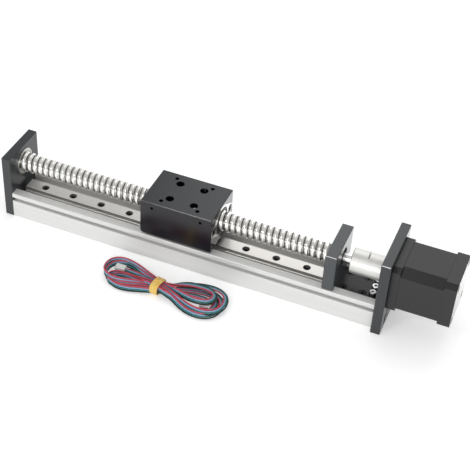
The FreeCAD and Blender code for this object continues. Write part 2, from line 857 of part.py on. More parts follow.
def motor_rotor():
    """The rotor: two laminated cups on either side of a magnet disc."""
    middle = (stack_start + rear_cap_start) / 2
    start, end = span_about(middle, rotor_length)
    magnet_start, magnet_end = span_about(middle, rotor_magnet_length)
    solid = joined(
        [
            rod(rotor_radius, start, magnet_start),
            rod(rotor_radius - rotor_magnet_step, magnet_start, magnet_end),
            rod(rotor_radius, magnet_end, end),
        ]
    )
    return solid.cut(rod(shaft_radius + seat_clearance / 2, start - 1, end + 1))


def motor_bearings():
    """The outer rings and the inner rings of the motor's two bearings."""
    starts = (stack_start - motor_bearing_width - motor_bearing_inset, rear_cap_start + motor_bearing_inset)
    ring = motor_bearing_ring
    rings = [
        bearing_rings(start, motor_bearing_width, motor_bearing_radius, shaft_radius, ring, ring)
        for start in starts
    ]
    return [r[0] for r in rings], [r[1] for r in rings]


def tangent_points(lobe, corner_a, corner_b):
    """Where lines from two waist corners touch a lobe's circle, on its outer sides."""
    cx, cy, radius = lobe
    found = []
    for (px, py), side in ((corner_a, 1), (corner_b, -1)):
        away = math.hypot(px - cx, py - cy)
        heading = math.atan2(py - cy, px - cx)
        turn = math.acos(radius / away)
        outward = 1 if px > cx else -1
        angle = heading + turn * side * outward
        found.append((cx + radius * math.cos(angle), cy + radius * math.sin(angle)))
    return found


def teardrop(lobe, waist_x, half_waist):
    """One lobe of the hank seen from above: a circle drawn in to the waist by its tangents."""
    cx, cy, radius = lobe
    top = (waist_x, waist_place[1] + half_waist)
    bottom = (waist_x, waist_place[1] - half_waist)
    touch_top, touch_bottom = tangent_points(lobe, top, bottom)
    outward = 1 if cx > waist_x else -1
    far = FreeCAD.Vector(cx + outward * radius, cy, 0)
    points = [FreeCAD.Vector(x, y, 0) for x, y in (top, touch_top, touch_bottom, bottom)]
    wire = Part.Wire(
        [
            Part.LineSegment(points[0], points[1]).toShape(),
            Part.Arc(points[1], far, points[2]).toShape(),
            Part.LineSegment(points[2], points[3]).toShape(),
            Part.LineSegment(points[3], points[0]).toShape(),
        ]
    )
    return Part.Face(wire)


def lead_hank():
    """The coiled lead as one solid: two open loops, a tied waist and a stub to each plug."""
    pieces = []
    middle, side = waist_place
    for lobe, wall, outward in ((left_lobe, left_lobe_wall, -1), (right_lobe, right_lobe_wall, 1)):
        waist_x = middle + outward * waist_length / 2
        outer = teardrop(lobe, waist_x, waist_width / 2).extrude(Z * hank_height)
        cx, cy, radius = lobe
        inner_lobe = (cx, cy, radius - wall)
        inner_waist = waist_x + outward * wall * loop_tip_reach
        inner = teardrop(inner_lobe, inner_waist, loop_tip_half).extrude(Z * hank_height)
        pieces.append(outer.cut(inner))
    half = waist_width / 2
    pieces.append(
        box(
            (middle - waist_length / 2, middle + waist_length / 2),
            (side - half, side + half),
            (waist_lift, waist_lift + waist_height),
        )
    )
    half = plug_stub_width / 2
    for (x, y), reach in zip(plug_places, plug_stub_lengths):
        face = x + math.copysign(plug_size[0] / 2, reach)
        pieces.append(box(sorted((face, face + reach)), (y - half, y + half), plug_stub_span))
    return joined(pieces)


def lead_tie():
    """The tie wrapped round the hank's waist."""
    middle, side = waist_place
    half = waist_width / 2
    run = (middle - tie_width / 2, middle + tie_width / 2)
    low = waist_lift
    high = waist_lift + waist_height
    across = span_about(side, waist_width + 2 * tie_thickness)
    outer = box(run, across, (low - tie_thickness, high + tie_thickness))
    long_edges = [e for e in outer.Edges if e.BoundBox.XLength > 1]
    outer = outer.makeFillet(tie_thickness, long_edges)
    return outer.cut(box((run[0] - 1, run[1] + 1), (side - half, side + half), (low, high)))


def lead_plugs():
    """The lead's two connector housings, one lying in each loop."""
    length, width, height = plug_size
    return [
        chamfered_box(span_about(x, length), span_about(y, width), (0, height), plug_chamfer)
        for x, y in plug_places
    ]


def screws(size, length, seats, direction):
    """A set of equal cap screws."""
    return [cap_screw(size, length, seat, direction) for seat in seats]


end_outer, end_inner = bearing_rings(
    end_bearing_face - bearing_width,
    bearing_width,
    bearing_radius,
    journal_radius,
    bearing_outer_ring,
    bearing_inner_ring,
)
drive_outer, drive_inner = bearing_rings(
    bearing_plate_start,
    bearing_width,
    bearing_radius,
    journal_radius,
    bearing_outer_ring,
    bearing_inner_ring,
)
shields = bearing_shields(end_bearing_face - bearing_width) + bearing_shields(bearing_plate_start)
motor_outer_rings, motor_inner_rings = motor_bearings()
cap_start = carriage_body_length / 2
cap_end = carriage_length / 2 - carriage_seal_thickness

parts = {
    "base_profile": [base_profile()],
    "end_plate": [end_plate()],
    "end_plate_screws": screws(M5, end_screw_length, end_plate_seats, -X),
    "guide_rail": [guide_rail()],
    "rail_screws": screws(M3, rail_screw_length, rail_screw_seats, Z),
    "bearing_plate": [bearing_plate()],
    "bearing_plate_screws": screws(M4, bearing_plate_screw_length - hole_end_gap, bearing_plate_seats, -Z),
    "drive_base": [drive_base()],
    "drive_base_screws": screws(M3, drive_base_screw_length, drive_base_seats, Z),
    "drive_clamp_screws": screws(M3, clamp_screw_length, clamp_screw_seats, Z),
    "motor_plate": [motor_plate()],
    "motor_plate_screws": screws(M5, end_screw_length, motor_plate_seats, X),
    "drive_tie_screws": screws(M4, drive_screw_length, drive_seats, X),
    "screw_bearing_outer_rings": [end_outer, drive_outer],
    "screw_bearing_shields": shields,
    "screw_bearing_inner_rings": [end_inner, drive_inner],
    "ball_screw": [ball_screw()],
    "coupling_body": [coupling_body()],
    "coupling_screws": screws(M2_5, coupling_screw_length, *coupling_screw_seats()),
    "slider_block": [slider_block()],
    "carriage_body": [carriage_body()],
    "carriage_end_caps": carriage_ends(cap_start, cap_end, carriage_cap_inset, running_clearance),
    "carriage_seals": carriage_ends(cap_end, carriage_length / 2, carriage_seal_inset, running_clearance),
    "carriage_screws": screws(M3, carriage_screw_length, carriage_screw_seats, Z),
    "ball_nut": [ball_nut()],
    "nut_wipers": nut_wipers(),
    "nut_screws": screws(M4, nut_screw_length, nut_screw_seats, X),
    "motor_front_cap": [motor_front_cap()],
    "motor_stack": [motor_stack()],
    "motor_windings": [motor_windings()],
    "motor_rear_cap": [motor_rear_cap()],
    "motor_bearing_outer_rings": motor_outer_rings,
    "motor_bearing_inner_rings": motor_inner_rings,
    "motor_rotor": [motor_rotor()],
    "motor_shaft": [motor_shaft()],
    "motor_mount_screws": screws(M3, motor_screw_length, motor_screw_seats, -X),
    "motor_tie_screws": screws(M3, tie_screw_length, tie_screw_seats, X),
    "motor_socket": [motor_socket()],
    "lead_hank": [lead_hank()],
    "lead_tie": [lead_tie()],
    "lead_plugs": lead_plugs(),
}

os.makedirs("parts", exist_ok=True)
for name, solids in parts.items():
    shape = solids[0] if len(solids) == 1 else Part.makeCompound(solids)
    shape.exportStep(os.path.join("parts", name + ".step"))
    print(name, len(shape.Solids), shape.isValid(), round(shape.Volume, 2))
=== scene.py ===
# %% [markdown]
# A small linear module: a motor turns a long screw, and the screw pulls a
# black table along a rail. The solid model is loaded as a frame that stays
# as it is. This file adds what a solid model leaves out, such as the screw's
# ball track, the coiled lead, and a finish for every surface.

import json
import math
import bmesh
import bpy
from mathutils import Matrix, Vector


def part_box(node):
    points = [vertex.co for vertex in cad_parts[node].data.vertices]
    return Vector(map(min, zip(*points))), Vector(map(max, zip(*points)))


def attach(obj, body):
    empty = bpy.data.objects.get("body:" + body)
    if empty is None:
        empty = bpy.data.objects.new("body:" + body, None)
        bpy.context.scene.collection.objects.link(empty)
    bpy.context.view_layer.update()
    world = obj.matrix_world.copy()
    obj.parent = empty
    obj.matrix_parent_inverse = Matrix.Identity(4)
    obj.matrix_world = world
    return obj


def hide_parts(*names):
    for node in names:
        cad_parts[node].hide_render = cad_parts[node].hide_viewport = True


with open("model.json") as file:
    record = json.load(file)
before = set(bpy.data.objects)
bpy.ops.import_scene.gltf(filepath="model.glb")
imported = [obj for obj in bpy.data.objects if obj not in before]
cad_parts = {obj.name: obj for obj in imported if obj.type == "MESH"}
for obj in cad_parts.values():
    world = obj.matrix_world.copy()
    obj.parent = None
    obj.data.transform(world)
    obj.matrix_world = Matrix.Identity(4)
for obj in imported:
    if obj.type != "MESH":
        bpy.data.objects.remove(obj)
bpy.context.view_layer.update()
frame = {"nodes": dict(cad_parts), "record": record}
nodes = frame["nodes"]
bpy.ops.object.select_all(action="DESELECT")
scene = bpy.context.scene
scene.view_settings.view_transform = "Standard"
MM = 0.001
print("nodes loaded:", len(nodes))

# %% [markdown]
# The camera comes first, because everything is judged through it. It looks
# down at about forty degrees, from a little towards the motor's end. A long
# lens keeps the perspective mild, and a few degrees of roll tilt the base.
# It could be placed by eye, but one matrix of turn, tilt and roll, fitted to
# the corners of the real module, lands every edge where it belongs.

# %% Camera
CAMERA_PLACE = (0.26543, -0.65926, 0.63037)
CAMERA_AZIMUTH = 19.556
CAMERA_ELEVATION = 40.628
CAMERA_ROLL = 3.849
camera_data = bpy.data.cameras.new("camera")
camera_data.lens = 91.7
camera_data.sensor_width = 36.0
camera_data.clip_start = 0.01
camera = bpy.data.objects.new("camera", camera_data)
scene.collection.objects.link(camera)
turn = Matrix.Rotation(math.radians(CAMERA_AZIMUTH), 4, "Z")
tilt = Matrix.Rotation(math.radians(90 - CAMERA_ELEVATION), 4, "X")
roll = Matrix.Rotation(math.radians(CAMERA_ROLL), 4, "Z")
camera.matrix_world = Matrix.Translation(CAMERA_PLACE) @ turn @ tilt @ roll
scene.camera = camera
print("camera lens", camera_data.lens, "mm, looking down", CAMERA_ELEVATION, "degrees")

# %% [markdown]
# Every finish starts from one shader whose plain values are set on its own
# sockets. A value that came through a chain of nodes would look the same
# here, and would be lost when the model is exported.


# %% Helpers: a finish, and who wears it
def finish(name, color, roughness, metallic=0.0, **sockets):
    """A new material with one shader, its values set directly."""
    material = bpy.data.materials.new(name)
    material.use_nodes = True
    shader = material.node_tree.nodes["Principled BSDF"]
    shader.inputs["Base Color"].default_value = (*color, 1)
    shader.inputs["Metallic"].default_value = metallic
    shader.inputs["Roughness"].default_value = roughness
    for socket, value in sockets.items():
        shader.inputs[socket.replace("_", " ")].default_value = value
    return material


def dress(material, *names):
    """Give a material to nodes of the frame or to pieces."""
    for name in names:
        obj = name if isinstance(name, bpy.types.Object) else nodes[name]
        obj.data.materials.clear()
        obj.data.materials.append(material)
    print(material.name, "on", len(names), "pieces")


# %% [markdown]
# No real surface is even. A noise breaks up its colour, its gloss and its
# height, at the scale of the real grain. An image would do it too, but noise
# needs no file and has no seams. It reads object coordinates, so it rides
# along when a piece moves.


# %% Helpers: a pattern, and a grey or a colour made from it
def pattern(material, scale, stretch=(1, 1, 1), detail=4.0, kind="ShaderNodeTexNoise"):
    """The grey of a noise on object coordinates, stretched along the piece's own axes."""
    tree = material.node_tree
    place = tree.nodes.new("ShaderNodeTexCoord")
    mapping = tree.nodes.new("ShaderNodeMapping")
    mapping.inputs["Scale"].default_value = stretch
    texture = tree.nodes.new(kind)
    texture.inputs["Scale"].default_value = scale
    if "Detail" in texture.inputs:
        texture.inputs["Detail"].default_value = detail
    tree.links.new(place.outputs["Object"], mapping.inputs["Vector"])
    tree.links.new(mapping.outputs["Vector"], texture.inputs["Vector"])
    return next(texture.outputs[name] for name in ("Fac", "Distance") if name in texture.outputs)


def between(material, grey, low, high):
    """A grey from 0 to 1, mapped to run between two values."""
    tree = material.node_tree
    span = tree.nodes.new("ShaderNodeMapRange")
    span.inputs["To Min"].default_value = low
    span.inputs["To Max"].default_value = high
    tree.links.new(grey, span.inputs["Value"])
    return span.outputs["Result"]


def ramp(material, grey, *stops):
    """A colour ramp on a grey. Each stop is a position and a colour."""
    tree = material.node_tree
    made = tree.nodes.new("ShaderNodeValToRGB")
    elements = made.color_ramp.elements
    for k, (position, color) in ((0, stops[0]), (1, stops[-1])):
        elements[k].position = position
        elements[k].color = (*color, 1)
    for position, color in stops[1:-1]:
        elements.new(position).color = (*color, 1)
    tree.links.new(grey, made.inputs["Fac"])
    return made.outputs["Color"]


# %% [markdown]
# A grey pattern can drive three things: how glossy a spot is, what colour it
# has, and how high it stands. Height comes as a bump, because the real grain
# is a few thousandths of a millimetre deep, far too fine for a mesh.


# %% Helpers: drive gloss, colour and height
def vary(material, socket, grey, low, high):
    """Drive a grey socket of the shader between two values."""
    shader = material.node_tree.nodes["Principled BSDF"]
    material.node_tree.links.new(between(material, grey, low, high), shader.inputs[socket])


def tint(material, grey, dark, light, low=0.3, high=0.7):
    """Drive the colour between two tints."""
    shader = material.node_tree.nodes["Principled BSDF"]
    color = ramp(material, grey, (low, dark), (high, light))
    material.node_tree.links.new(color, shader.inputs["Base Color"])


def relief(material, grey, distance, strength):
    """Raise and sink the surface by a distance in metres. Reliefs add up."""
    tree = material.node_tree
    shader = tree.nodes["Principled BSDF"]
    bump = tree.nodes.new("ShaderNodeBump")
    bump.inputs["Strength"].default_value = strength
    bump.inputs["Distance"].default_value = distance
    tree.links.new(grey, bump.inputs["Height"])
    for link in list(tree.links):
        if link.to_socket == shader.inputs["Normal"]:
            tree.links.new(link.from_socket, bump.inputs["Normal"])
    tree.links.new(bump.outputs["Normal"], shader.inputs["Normal"])


# %% [markdown]
# The base is an extrusion. It was pressed through a die, so its grain runs
# along X, and clear anodising leaves it pale and satin. An anisotropic shader
# could give the sheen, but a noise stretched a hundredfold along X gives the
# fine lines as well.

# %% Finish: silver anodised extrusion
silver = finish("silver_anodised", (0.76, 0.76, 0.75), metallic=0.4, roughness=0.4)
grain = pattern(silver, 1300, stretch=(0.006, 1, 1), detail=3)
tint(silver, grain, (0.735, 0.735, 0.725), (0.785, 0.785, 0.775))
vary(silver, "Roughness", grain, 0.34, 0.46)
relief(silver, grain, 0.000006, 0.3)
dress(silver, "base_profile")

# %% [markdown]
# The plates and the table are milled and black anodised. Under soft light that
# reads as a dark grey with a cool sheen. The top and the sides catch the light
# differently, and a ramp on the face's direction paints that light and shade
# as two tints. It works on a solid whose faces carry no marks of their own.


# %% Helpers: a step of arithmetic, and painted light by direction
SIDE_UP_TO = 0.3
TOP_FROM = 0.9


def step(material, kind, operation, *inputs):
    """A Math or VectorMath node. Each input is another node's socket, or a plain value."""
    tree = material.node_tree
    made = tree.nodes.new("ShaderNode" + kind)
    made.operation = operation
    for socket, value in zip(made.inputs, inputs):
        if isinstance(value, bpy.types.NodeSocket):
            tree.links.new(value, socket)
        else:
            socket.default_value = value
    return made


def coordinate(material, name):
    """One of the texture coordinates of the piece itself: its Normal or its Object place."""
    return material.node_tree.nodes.new("ShaderNodeTexCoord").outputs[name]


def split(material, vector):
    """The three parts of a vector."""
    parts = material.node_tree.nodes.new("ShaderNodeSeparateXYZ")
    material.node_tree.links.new(vector, parts.inputs[0])
    return parts.outputs


def painted_light_by_facing(material, side, top, *others):
    """Painted light and shade by where a face points: one tint on the sides, another on the top, others
    between.
    """
    upward = split(material, coordinate(material, "Normal"))["Z"]
    return ramp(material, upward, (SIDE_UP_TO, side), *others, (TOP_FROM, top))


def mottle(material, color, grey, low, high):
    """Multiply a colour by a grey, between two strengths, into the shader's colour."""
    tree = material.node_tree
    blend = step(material, "VectorMath", "SCALE", color)
    tree.links.new(between(material, grey, low, high), blend.inputs["Scale"])
    tree.links.new(blend.outputs["Vector"], tree.nodes["Principled BSDF"].inputs["Base Color"])


# %% [markdown]
# The small chamfer between the near side and the top of a plate catches the
# light as a bright line, and that highlight is painted on. It could be a strip
# of its own, but a mask on the direction of the face finds that chamfer
# without any new shape.


# %% Helper: painted light on the faces that point one way
NEAR_CHAMFER = (0, -math.sqrt(0.5), math.sqrt(0.5))
NEARLY_SQUARE = 0.97


def painted_light_where(material, color, painted_light, direction):
    """Painted light on the faces that point one way, and the given colour on all others."""
    tree = material.node_tree
    toward = step(material, "VectorMath", "DOT_PRODUCT", coordinate(material, "Normal"), direction)
    mask = step(material, "Math", "GREATER_THAN", toward.outputs["Value"], NEARLY_SQUARE)
    blend = tree.nodes.new("ShaderNodeMix")
    blend.data_type = "RGBA"
    blend.inputs["B"].default_value = (*painted_light, 1)
    tree.links.new(mask.outputs[0], blend.inputs["Factor"])
    tree.links.new(color, blend.inputs["A"])
    return blend.outputs["Result"]


# %% [markdown]
# Each black part has a depth of black of its own, set part by part. A fine
# grain breaks the sheen, and a broad, faint cloud keeps a large face from
# looking painted.


# %% Finish: black anodised plates and table
def anodised(name, side, top, roughness, ior=1.62, edge=None):
    """Black anodising over milled aluminium, with a painted highlight on the near chamfer if edge has a colour.
    """
    material = finish(name, side, roughness=roughness, IOR=ior)
    cloud = pattern(material, 90, detail=3)
    # The side and top tints are painted light and shade, as the faces catch the light differently.
    color = painted_light_by_facing(material, side, top)
    # edge is the colour of a painted highlight on the near chamfer.
    if edge:
        color = painted_light_where(material, color, edge, NEAR_CHAMFER)
    mottle(material, color, cloud, 0.8, 1.2)
    fine = pattern(material, 5000, detail=2)
    vary(material, "Roughness", fine, roughness - 0.05, roughness + 0.06)
    relief(material, fine, 0.000012, 0.4)
    return material


plate_black = anodised("black_anodised", (0.013, 0.017, 0.020), (0.008, 0.013, 0.015), 0.28)
# The motor plate and the bearing plate get a painted highlight on their near chamfer.
motor_plate_black = anodised(
    "black_anodised_motor", (0.012, 0.014, 0.018), (0.008, 0.012, 0.015), 0.28, edge=(0.85, 0.85, 0.85)
)
bearing_black = anodised(
    "black_anodised_bearing", (0.042, 0.048, 0.053), (0.034, 0.041, 0.045), 0.30, edge=(0.70, 0.70, 0.70)
)
base_black = anodised("black_anodised_base", (0.004, 0.004, 0.005), (0.002, 0.002, 0.003), 0.26, ior=1.42)
block_black = anodised("black_anodised_block", (0.003, 0.003, 0.006), (0.003, 0.006, 0.009), 0.22, ior=1.54)
dress(plate_black, "end_plate")
dress(motor_plate_black, "motor_plate")
dress(bearing_black, "bearing_plate")
dress(base_black, "drive_base")
dress(block_black, "slider_block")

# %% [markdown]
# The motor is a stack of iron sheets between two cast caps, all under black
# paint. Painted shade makes the broad chamfers along its corners darker than
# the faces, and painted light makes its rear face pale. Its edges catch a thin
# light, because paint rounds them. A bevel on the mesh would do that, but the
# solid stays as it is, so the shader bends the light at the edges instead.


# %% Finish: motor body
EDGE_SAMPLES = 6
# Painted shade on the motor's broad chamfers.
CHAMFER_PAINTED_SHADE = (0.002, 0.002, 0.002)


def rounded(material, radius):
    """Shade sharp edges as if they were rounded by a radius in metres."""
    tree = material.node_tree
    edge = tree.nodes.new("ShaderNodeBevel")
    edge.samples = EDGE_SAMPLES
    edge.inputs["Radius"].default_value = radius
    tree.links.new(edge.outputs["Normal"], tree.nodes["Principled BSDF"].inputs["Normal"])


def motor_finish(name, rear=None):
    """Black paint over castings and sheets, with painted light on the rear face if rear has a colour."""
    material = finish(name, (0.02, 0.02, 0.022), roughness=0.36, IOR=1.5)
    speckle = pattern(material, 1800, detail=3)
    # The chamfers get painted shade, darker than the faces.
    chamfer = ((0.62, CHAMFER_PAINTED_SHADE), (0.80, CHAMFER_PAINTED_SHADE))
    painted = painted_light_by_facing(material, (0.013, 0.013, 0.015), (0.013, 0.013, 0.013), *chamfer)
    # rear is the colour of painted light on the rear face.
    if rear:
        painted = painted_light_where(material, painted, rear, (1, 0, 0))
    mottle(material, painted, speckle, 0.75, 1.25)
    vary(material, "Roughness", speckle, 0.30, 0.44)
    rounded(material, 0.0006)
    relief(material, speckle, 0.00003, 0.5)
    return material


dress(motor_finish("motor_black"), "motor_front_cap", "motor_stack")
# The rear cap gets painted light on its rear face.
dress(motor_finish("motor_black_rear_painted_light", rear=(0.72, 0.72, 0.71)), "motor_rear_cap")

# %% [markdown]
# The rail is ground bright. A thin dark line along both of its upper edges is
# painted shade, laid on its narrow chamfers. The shader tells them by their
# slope: a face that is square to an axis is bright, and one that leans is
# shaded. The rail's lower half has leaning tracks that are ground bright too,
# so height decides as well.


# %% Finish: rail and guide carriage
RAIL_GROUND = (0.66, 0.645, 0.62)
# A painted shade along the rail's upper chamfers, above a height.
RAIL_PAINTED_SHADE = (0.06, 0.057, 0.055)
PAINTED_SHADE_FROM_HEIGHT = 0.0188
LEANING = 0.85


def ground_with_painted_shade(material):
    """Ground steel on all but the leaning faces above a height, which get a painted shade."""
    size = step(material, "VectorMath", "ABSOLUTE", coordinate(material, "Normal")).outputs["Vector"]
    x, y, z = split(material, size)
    larger = step(material, "Math", "MAXIMUM", x, y).outputs[0]
    largest = step(material, "Math", "MAXIMUM", larger, z).outputs[0]
    height = split(material, coordinate(material, "Object"))["Z"]
    below = step(material, "Math", "LESS_THAN", height, PAINTED_SHADE_FROM_HEIGHT).outputs[0]
    ground_here = step(material, "Math", "MAXIMUM", largest, below).outputs[0]
    return ramp(material, ground_here, (LEANING, RAIL_PAINTED_SHADE), (NEARLY_SQUARE, RAIL_GROUND))


rail_steel = finish("rail_steel", RAIL_GROUND, metallic=0.85, roughness=0.30)
ground = pattern(rail_steel, 1500, stretch=(0.02, 1, 1), detail=3)
# The leaning upper faces get painted shade.
mottle(rail_steel, ground_with_painted_shade(rail_steel), ground, 0.92, 1.06)
vary(rail_steel, "Roughness", ground, 0.26, 0.40)
relief(rail_steel, ground, 0.000008, 0.4)
dress(rail_steel, "guide_rail", "carriage_body")

# %% [markdown]
# Bearings and the nut are turned and polished. Fine noise in the roughness
# leaves the mirror slightly uneven, as a touched and oiled surface is.

# %% Finish: bearings and nut
polished = finish("bearing_steel", (0.58, 0.58, 0.56), metallic=1.0, roughness=0.22)
turned = pattern(polished, 2500, detail=2)
tint(polished, turned, (0.52, 0.52, 0.50), (0.63, 0.63, 0.61))
vary(polished, "Roughness", turned, 0.16, 0.30)
dress(polished, "screw_bearing_outer_rings", "screw_bearing_inner_rings", "ball_nut")
dress(polished, "motor_bearing_outer_rings", "motor_bearing_inner_rings")

# %% [markdown]
# The screw's lands and the walls of its track are ground bright, and painted
# shade lies dark along the bottom of the track, where its walls drop away. That
# line follows the thread, so it turns with it. Painting it on would need an
# unwrapped helix. A ramp on the distance from the screw's axis finds the bottom
# wherever the thread is.


# %% Finish: ball screw
AXIS = (0, 0, 41.0)
# in mm: bright up to the first, painted shade between the middle two, bright again from the last
PAINTED_SHADE_BAND = (6.6, 6.75, 6.93, 7.14)
RAMP_REACH = 10.0


def by_radius(material, bright, dark, band):
    """Bright metal with a painted shade between four radii round the screw's axis, in mm."""
    place = coordinate(material, "Object")
    centred = step(material, "VectorMath", "SUBTRACT", place, [c * MM for c in AXIS]).outputs["Vector"]
    flat = step(material, "VectorMath", "MULTIPLY", centred, (0, 1, 1)).outputs["Vector"]
    radius = step(material, "VectorMath", "LENGTH", flat).outputs["Value"]
    scaled = step(material, "Math", "MULTIPLY", radius, 1 / (RAMP_REACH * MM)).outputs[0]
    return ramp(material, scaled, *zip([r / RAMP_REACH for r in band], (bright, dark, dark, bright)))


screw_steel = finish("screw_ground", (0.62, 0.61, 0.59), metallic=1.0, roughness=0.2)
oil = pattern(screw_steel, 400, detail=3)
# The dark band is painted shade at the bottom of the track.
thread_color = by_radius(screw_steel, (0.88, 0.87, 0.845), (0.10, 0.095, 0.09), PAINTED_SHADE_BAND)
mottle(screw_steel, thread_color, oil, 0.9, 1.08)
vary(screw_steel, "Roughness", oil, 0.14, 0.28)
dress(screw_steel, "motor_shaft")

# %% [markdown]
# A few screws are zinc plated, among them the three in sight beside the
# motor plate. The others are black oxide. Both coats are a little blotchy.
# The screws themselves come later, so here are only their two finishes.

# %% Finish: bright and dark cap screws
bright_screw = finish("screw_zinc", (0.70, 0.70, 0.71), metallic=1.0, roughness=0.28)
zinc = pattern(bright_screw, 3000, detail=2)
vary(bright_screw, "Roughness", zinc, 0.2, 0.36)
tint(bright_screw, zinc, (0.62, 0.62, 0.63), (0.76, 0.76, 0.77))

dark_screw = finish("screw_black_oxide", (0.03, 0.03, 0.032), metallic=0.7, roughness=0.42)
oxide = pattern(dark_screw, 4000, detail=2)
tint(dark_screw, oxide, (0.02, 0.02, 0.022), (0.05, 0.05, 0.052))
vary(dark_screw, "Roughness", oxide, 0.34, 0.52)
print("screw finishes:", bright_screw.name, dark_screw.name)

# %% [markdown]
# The coupling is turned from plain aluminium and left bare. The tool's marks
# run round it, so this noise is stretched across X, not along it.

# %% Finish: coupling
coupling_metal = finish("bright_aluminium", (0.72, 0.715, 0.70), metallic=0.7, roughness=0.36)
lathe_marks = pattern(coupling_metal, 4000, stretch=(1, 0.02, 0.02), detail=2)
tint(coupling_metal, lathe_marks, (0.66, 0.655, 0.635), (0.78, 0.775, 0.755))
vary(coupling_metal, "Roughness", lathe_marks, 0.32, 0.44)
relief(coupling_metal, lathe_marks, 0.000006, 0.4)
dress(coupling_metal, "coupling_body")

# %% [markdown]
# Three plastics: green caps on the guide carriage, black wipers and seals,
# and white plugs. Moulded plastic is matt with a faint texture. The white one
# lets a little light in, which softens its edges.

# %% Finish: plastics
green_plastic = finish("green_plastic", (0.03, 0.10, 0.07), roughness=0.45)
mould = pattern(green_plastic, 3000, detail=2)
tint(green_plastic, mould, (0.02, 0.08, 0.055), (0.04, 0.12, 0.085))
relief(green_plastic, mould, 0.00001, 0.4)
dress(green_plastic, "carriage_end_caps")

black_plastic = finish("black_plastic", (0.02, 0.02, 0.02), roughness=0.5)
matt = pattern(black_plastic, 3000, detail=2)
tint(black_plastic, matt, (0.014, 0.014, 0.014), (0.03, 0.03, 0.03))
relief(black_plastic, matt, 0.00001, 0.5)
dress(black_plastic, "nut_wipers", "carriage_seals")

white_plastic = finish("white_plastic", (0.86, 0.85, 0.81), roughness=0.4, Subsurface_Weight=0.1)
milky = pattern(white_plastic, 800, detail=2)
tint(white_plastic, milky, (0.82, 0.81, 0.77), (0.88, 0.87, 0.84))
dress(white_plastic, "motor_socket")

# %% [markdown]
# The motor's inside is seen only when someone takes it apart: a rotor of
# stacked iron sheets, and copper windings. Stretched noise gives the sheets
# their rings and the copper its strands.

# %% Finish: rotor and windings
rotor_iron = finish("rotor_iron", (0.4, 0.4, 0.4), metallic=0.9, roughness=0.4)
sheets = pattern(rotor_iron, 3000, stretch=(1, 0.02, 0.02), detail=1)
tint(rotor_iron, sheets, (0.3, 0.3, 0.3), (0.5, 0.5, 0.5))
dress(rotor_iron, "motor_rotor")

copper = finish("copper_wire", (0.55, 0.2, 0.08), metallic=0.9, roughness=0.35)
strands = pattern(copper, 2500, stretch=(0.05, 1, 1), detail=1)
tint(copper, strands, (0.42, 0.14, 0.05), (0.65, 0.27, 0.12))
relief(copper, strands, 0.00005, 0.6)
dress(copper, "motor_windings")

# %% [markdown]
# The lead is four thin wires side by side, a flat ribbon 5 mm wide. It is
# wound as a figure of eight and drawn in at the crossing by a tie. Each row
# of its route is one point of a smooth spline, in mm, with the ribbon's
# lean: 0 stands on edge and 90 lies flat, to the left of the way it runs. A
# cloth or rope simulation could coil it, but a listed route is the same on
# every run and follows the real loops.


# %% Lead: the shape of one loop
WIRE = 1.25
WIRE_RADIUS = 0.6
WIRES = 4
RIBBON = WIRES * WIRE
WAIST_X = -9.5
WAIST_Y = -53.0
WAIST_REACH = 7.0


def lobe(side, tip, upper, lower, height, into, out):
    """One loop: from the waist along the near side, round the tip and back along the far side."""
    root = WAIST_X + side * WAIST_REACH
    reach = tip - root
    tall = upper - lower
    near, far = (32, 88) if side > 0 else (-24, 34)
    turn = (near + far) / 2
    return [
        (root, into[0] + 0.10 * (lower - into[0]), into[1], 0.4 * near),
        (root + 0.20 * reach, into[0] + 0.42 * (lower - into[0]), (into[1] + height) / 2, near),
        (root + 0.42 * reach, into[0] + 0.84 * (lower - into[0]), height, near),
        (root + 0.64 * reach, lower - 0.02 * tall, height, near),
        (root + 0.84 * reach, lower + 0.03 * tall, height, 0.8 * near + 0.2 * turn),
        (root + 0.97 * reach, lower + 0.24 * tall, height, turn),
        (tip, lower + 0.55 * tall, height, turn),
        (root + 0.95 * reach, upper - 0.17 * tall, height, turn),
        (root + 0.80 * reach, upper - 0.01 * tall, height, 0.7 * far + 0.3 * turn),
        (root + 0.62 * reach, upper, height, far),
        (root + 0.40 * reach, out[0] + 0.78 * (upper - out[0]), height, far),
        (root + 0.19 * reach, out[0] + 0.40 * (upper - out[0]), (out[1] + height) / 2, 0.8 * far),
        (root, out[0] + 0.10 * (upper - out[0]), out[1], 0.4 * far),
    ]


# %% [markdown]
# At the crossing the strands lie in two layers, as fingers do when hands are
# folded. Those that fall to the right pass over those that rise. Each strand
# has its own lane, so no wire runs through another.


# %% Lead: the crossing under the tie
STRAND_PITCH = 2.4
FALLING_MIDDLE = 2.5
RISING_MIDDLE = 2.0
STRAND_SLOPE = 1.5
UPPER_LAYER = 6.5
LOWER_LAYER = 4.0
WAIST_LEAN = 8


def strand(number, side=0):
    """A strand's place at the tie (side 0) or just left (-1) or right (1) of it.

    Positive numbers fall from the far left to the near right, over the others, which rise.
    """
    falling = number > 0
    row = number - FALLING_MIDDLE if falling else -number - RISING_MIDDLE
    slope = -STRAND_SLOPE if falling else STRAND_SLOPE
    return (WAIST_Y + row * STRAND_PITCH + side * slope, UPPER_LAYER if falling else LOWER_LAYER)


def waist(number):
    """The point where a strand passes through the tie."""
    return [(WAIST_X, *strand(number), WAIST_LEAN)]


def left(tip, upper, lower, height, number):
    """A left loop: in on one rising strand, out on the next falling one, and through the tie."""
    rows = lobe(-1, tip, upper, lower, height, strand(-number, -1), strand(number + 1, -1))
    return rows + waist(number + 1)


def right(tip, upper, lower, height, number):
    """A right loop: in on a falling strand, out on the rising one of that number."""
    rows = lobe(1, tip, upper, lower, height, strand(number, 1), strand(-number, 1))
    return rows + waist(-number)


# %% [markdown]
# The route starts at the plug in the right loop and ends at the plug in the
# left one. Between them it goes left and right four times. Loose turns are
# never alike, so each loop has its own tip, far side, near side and height.

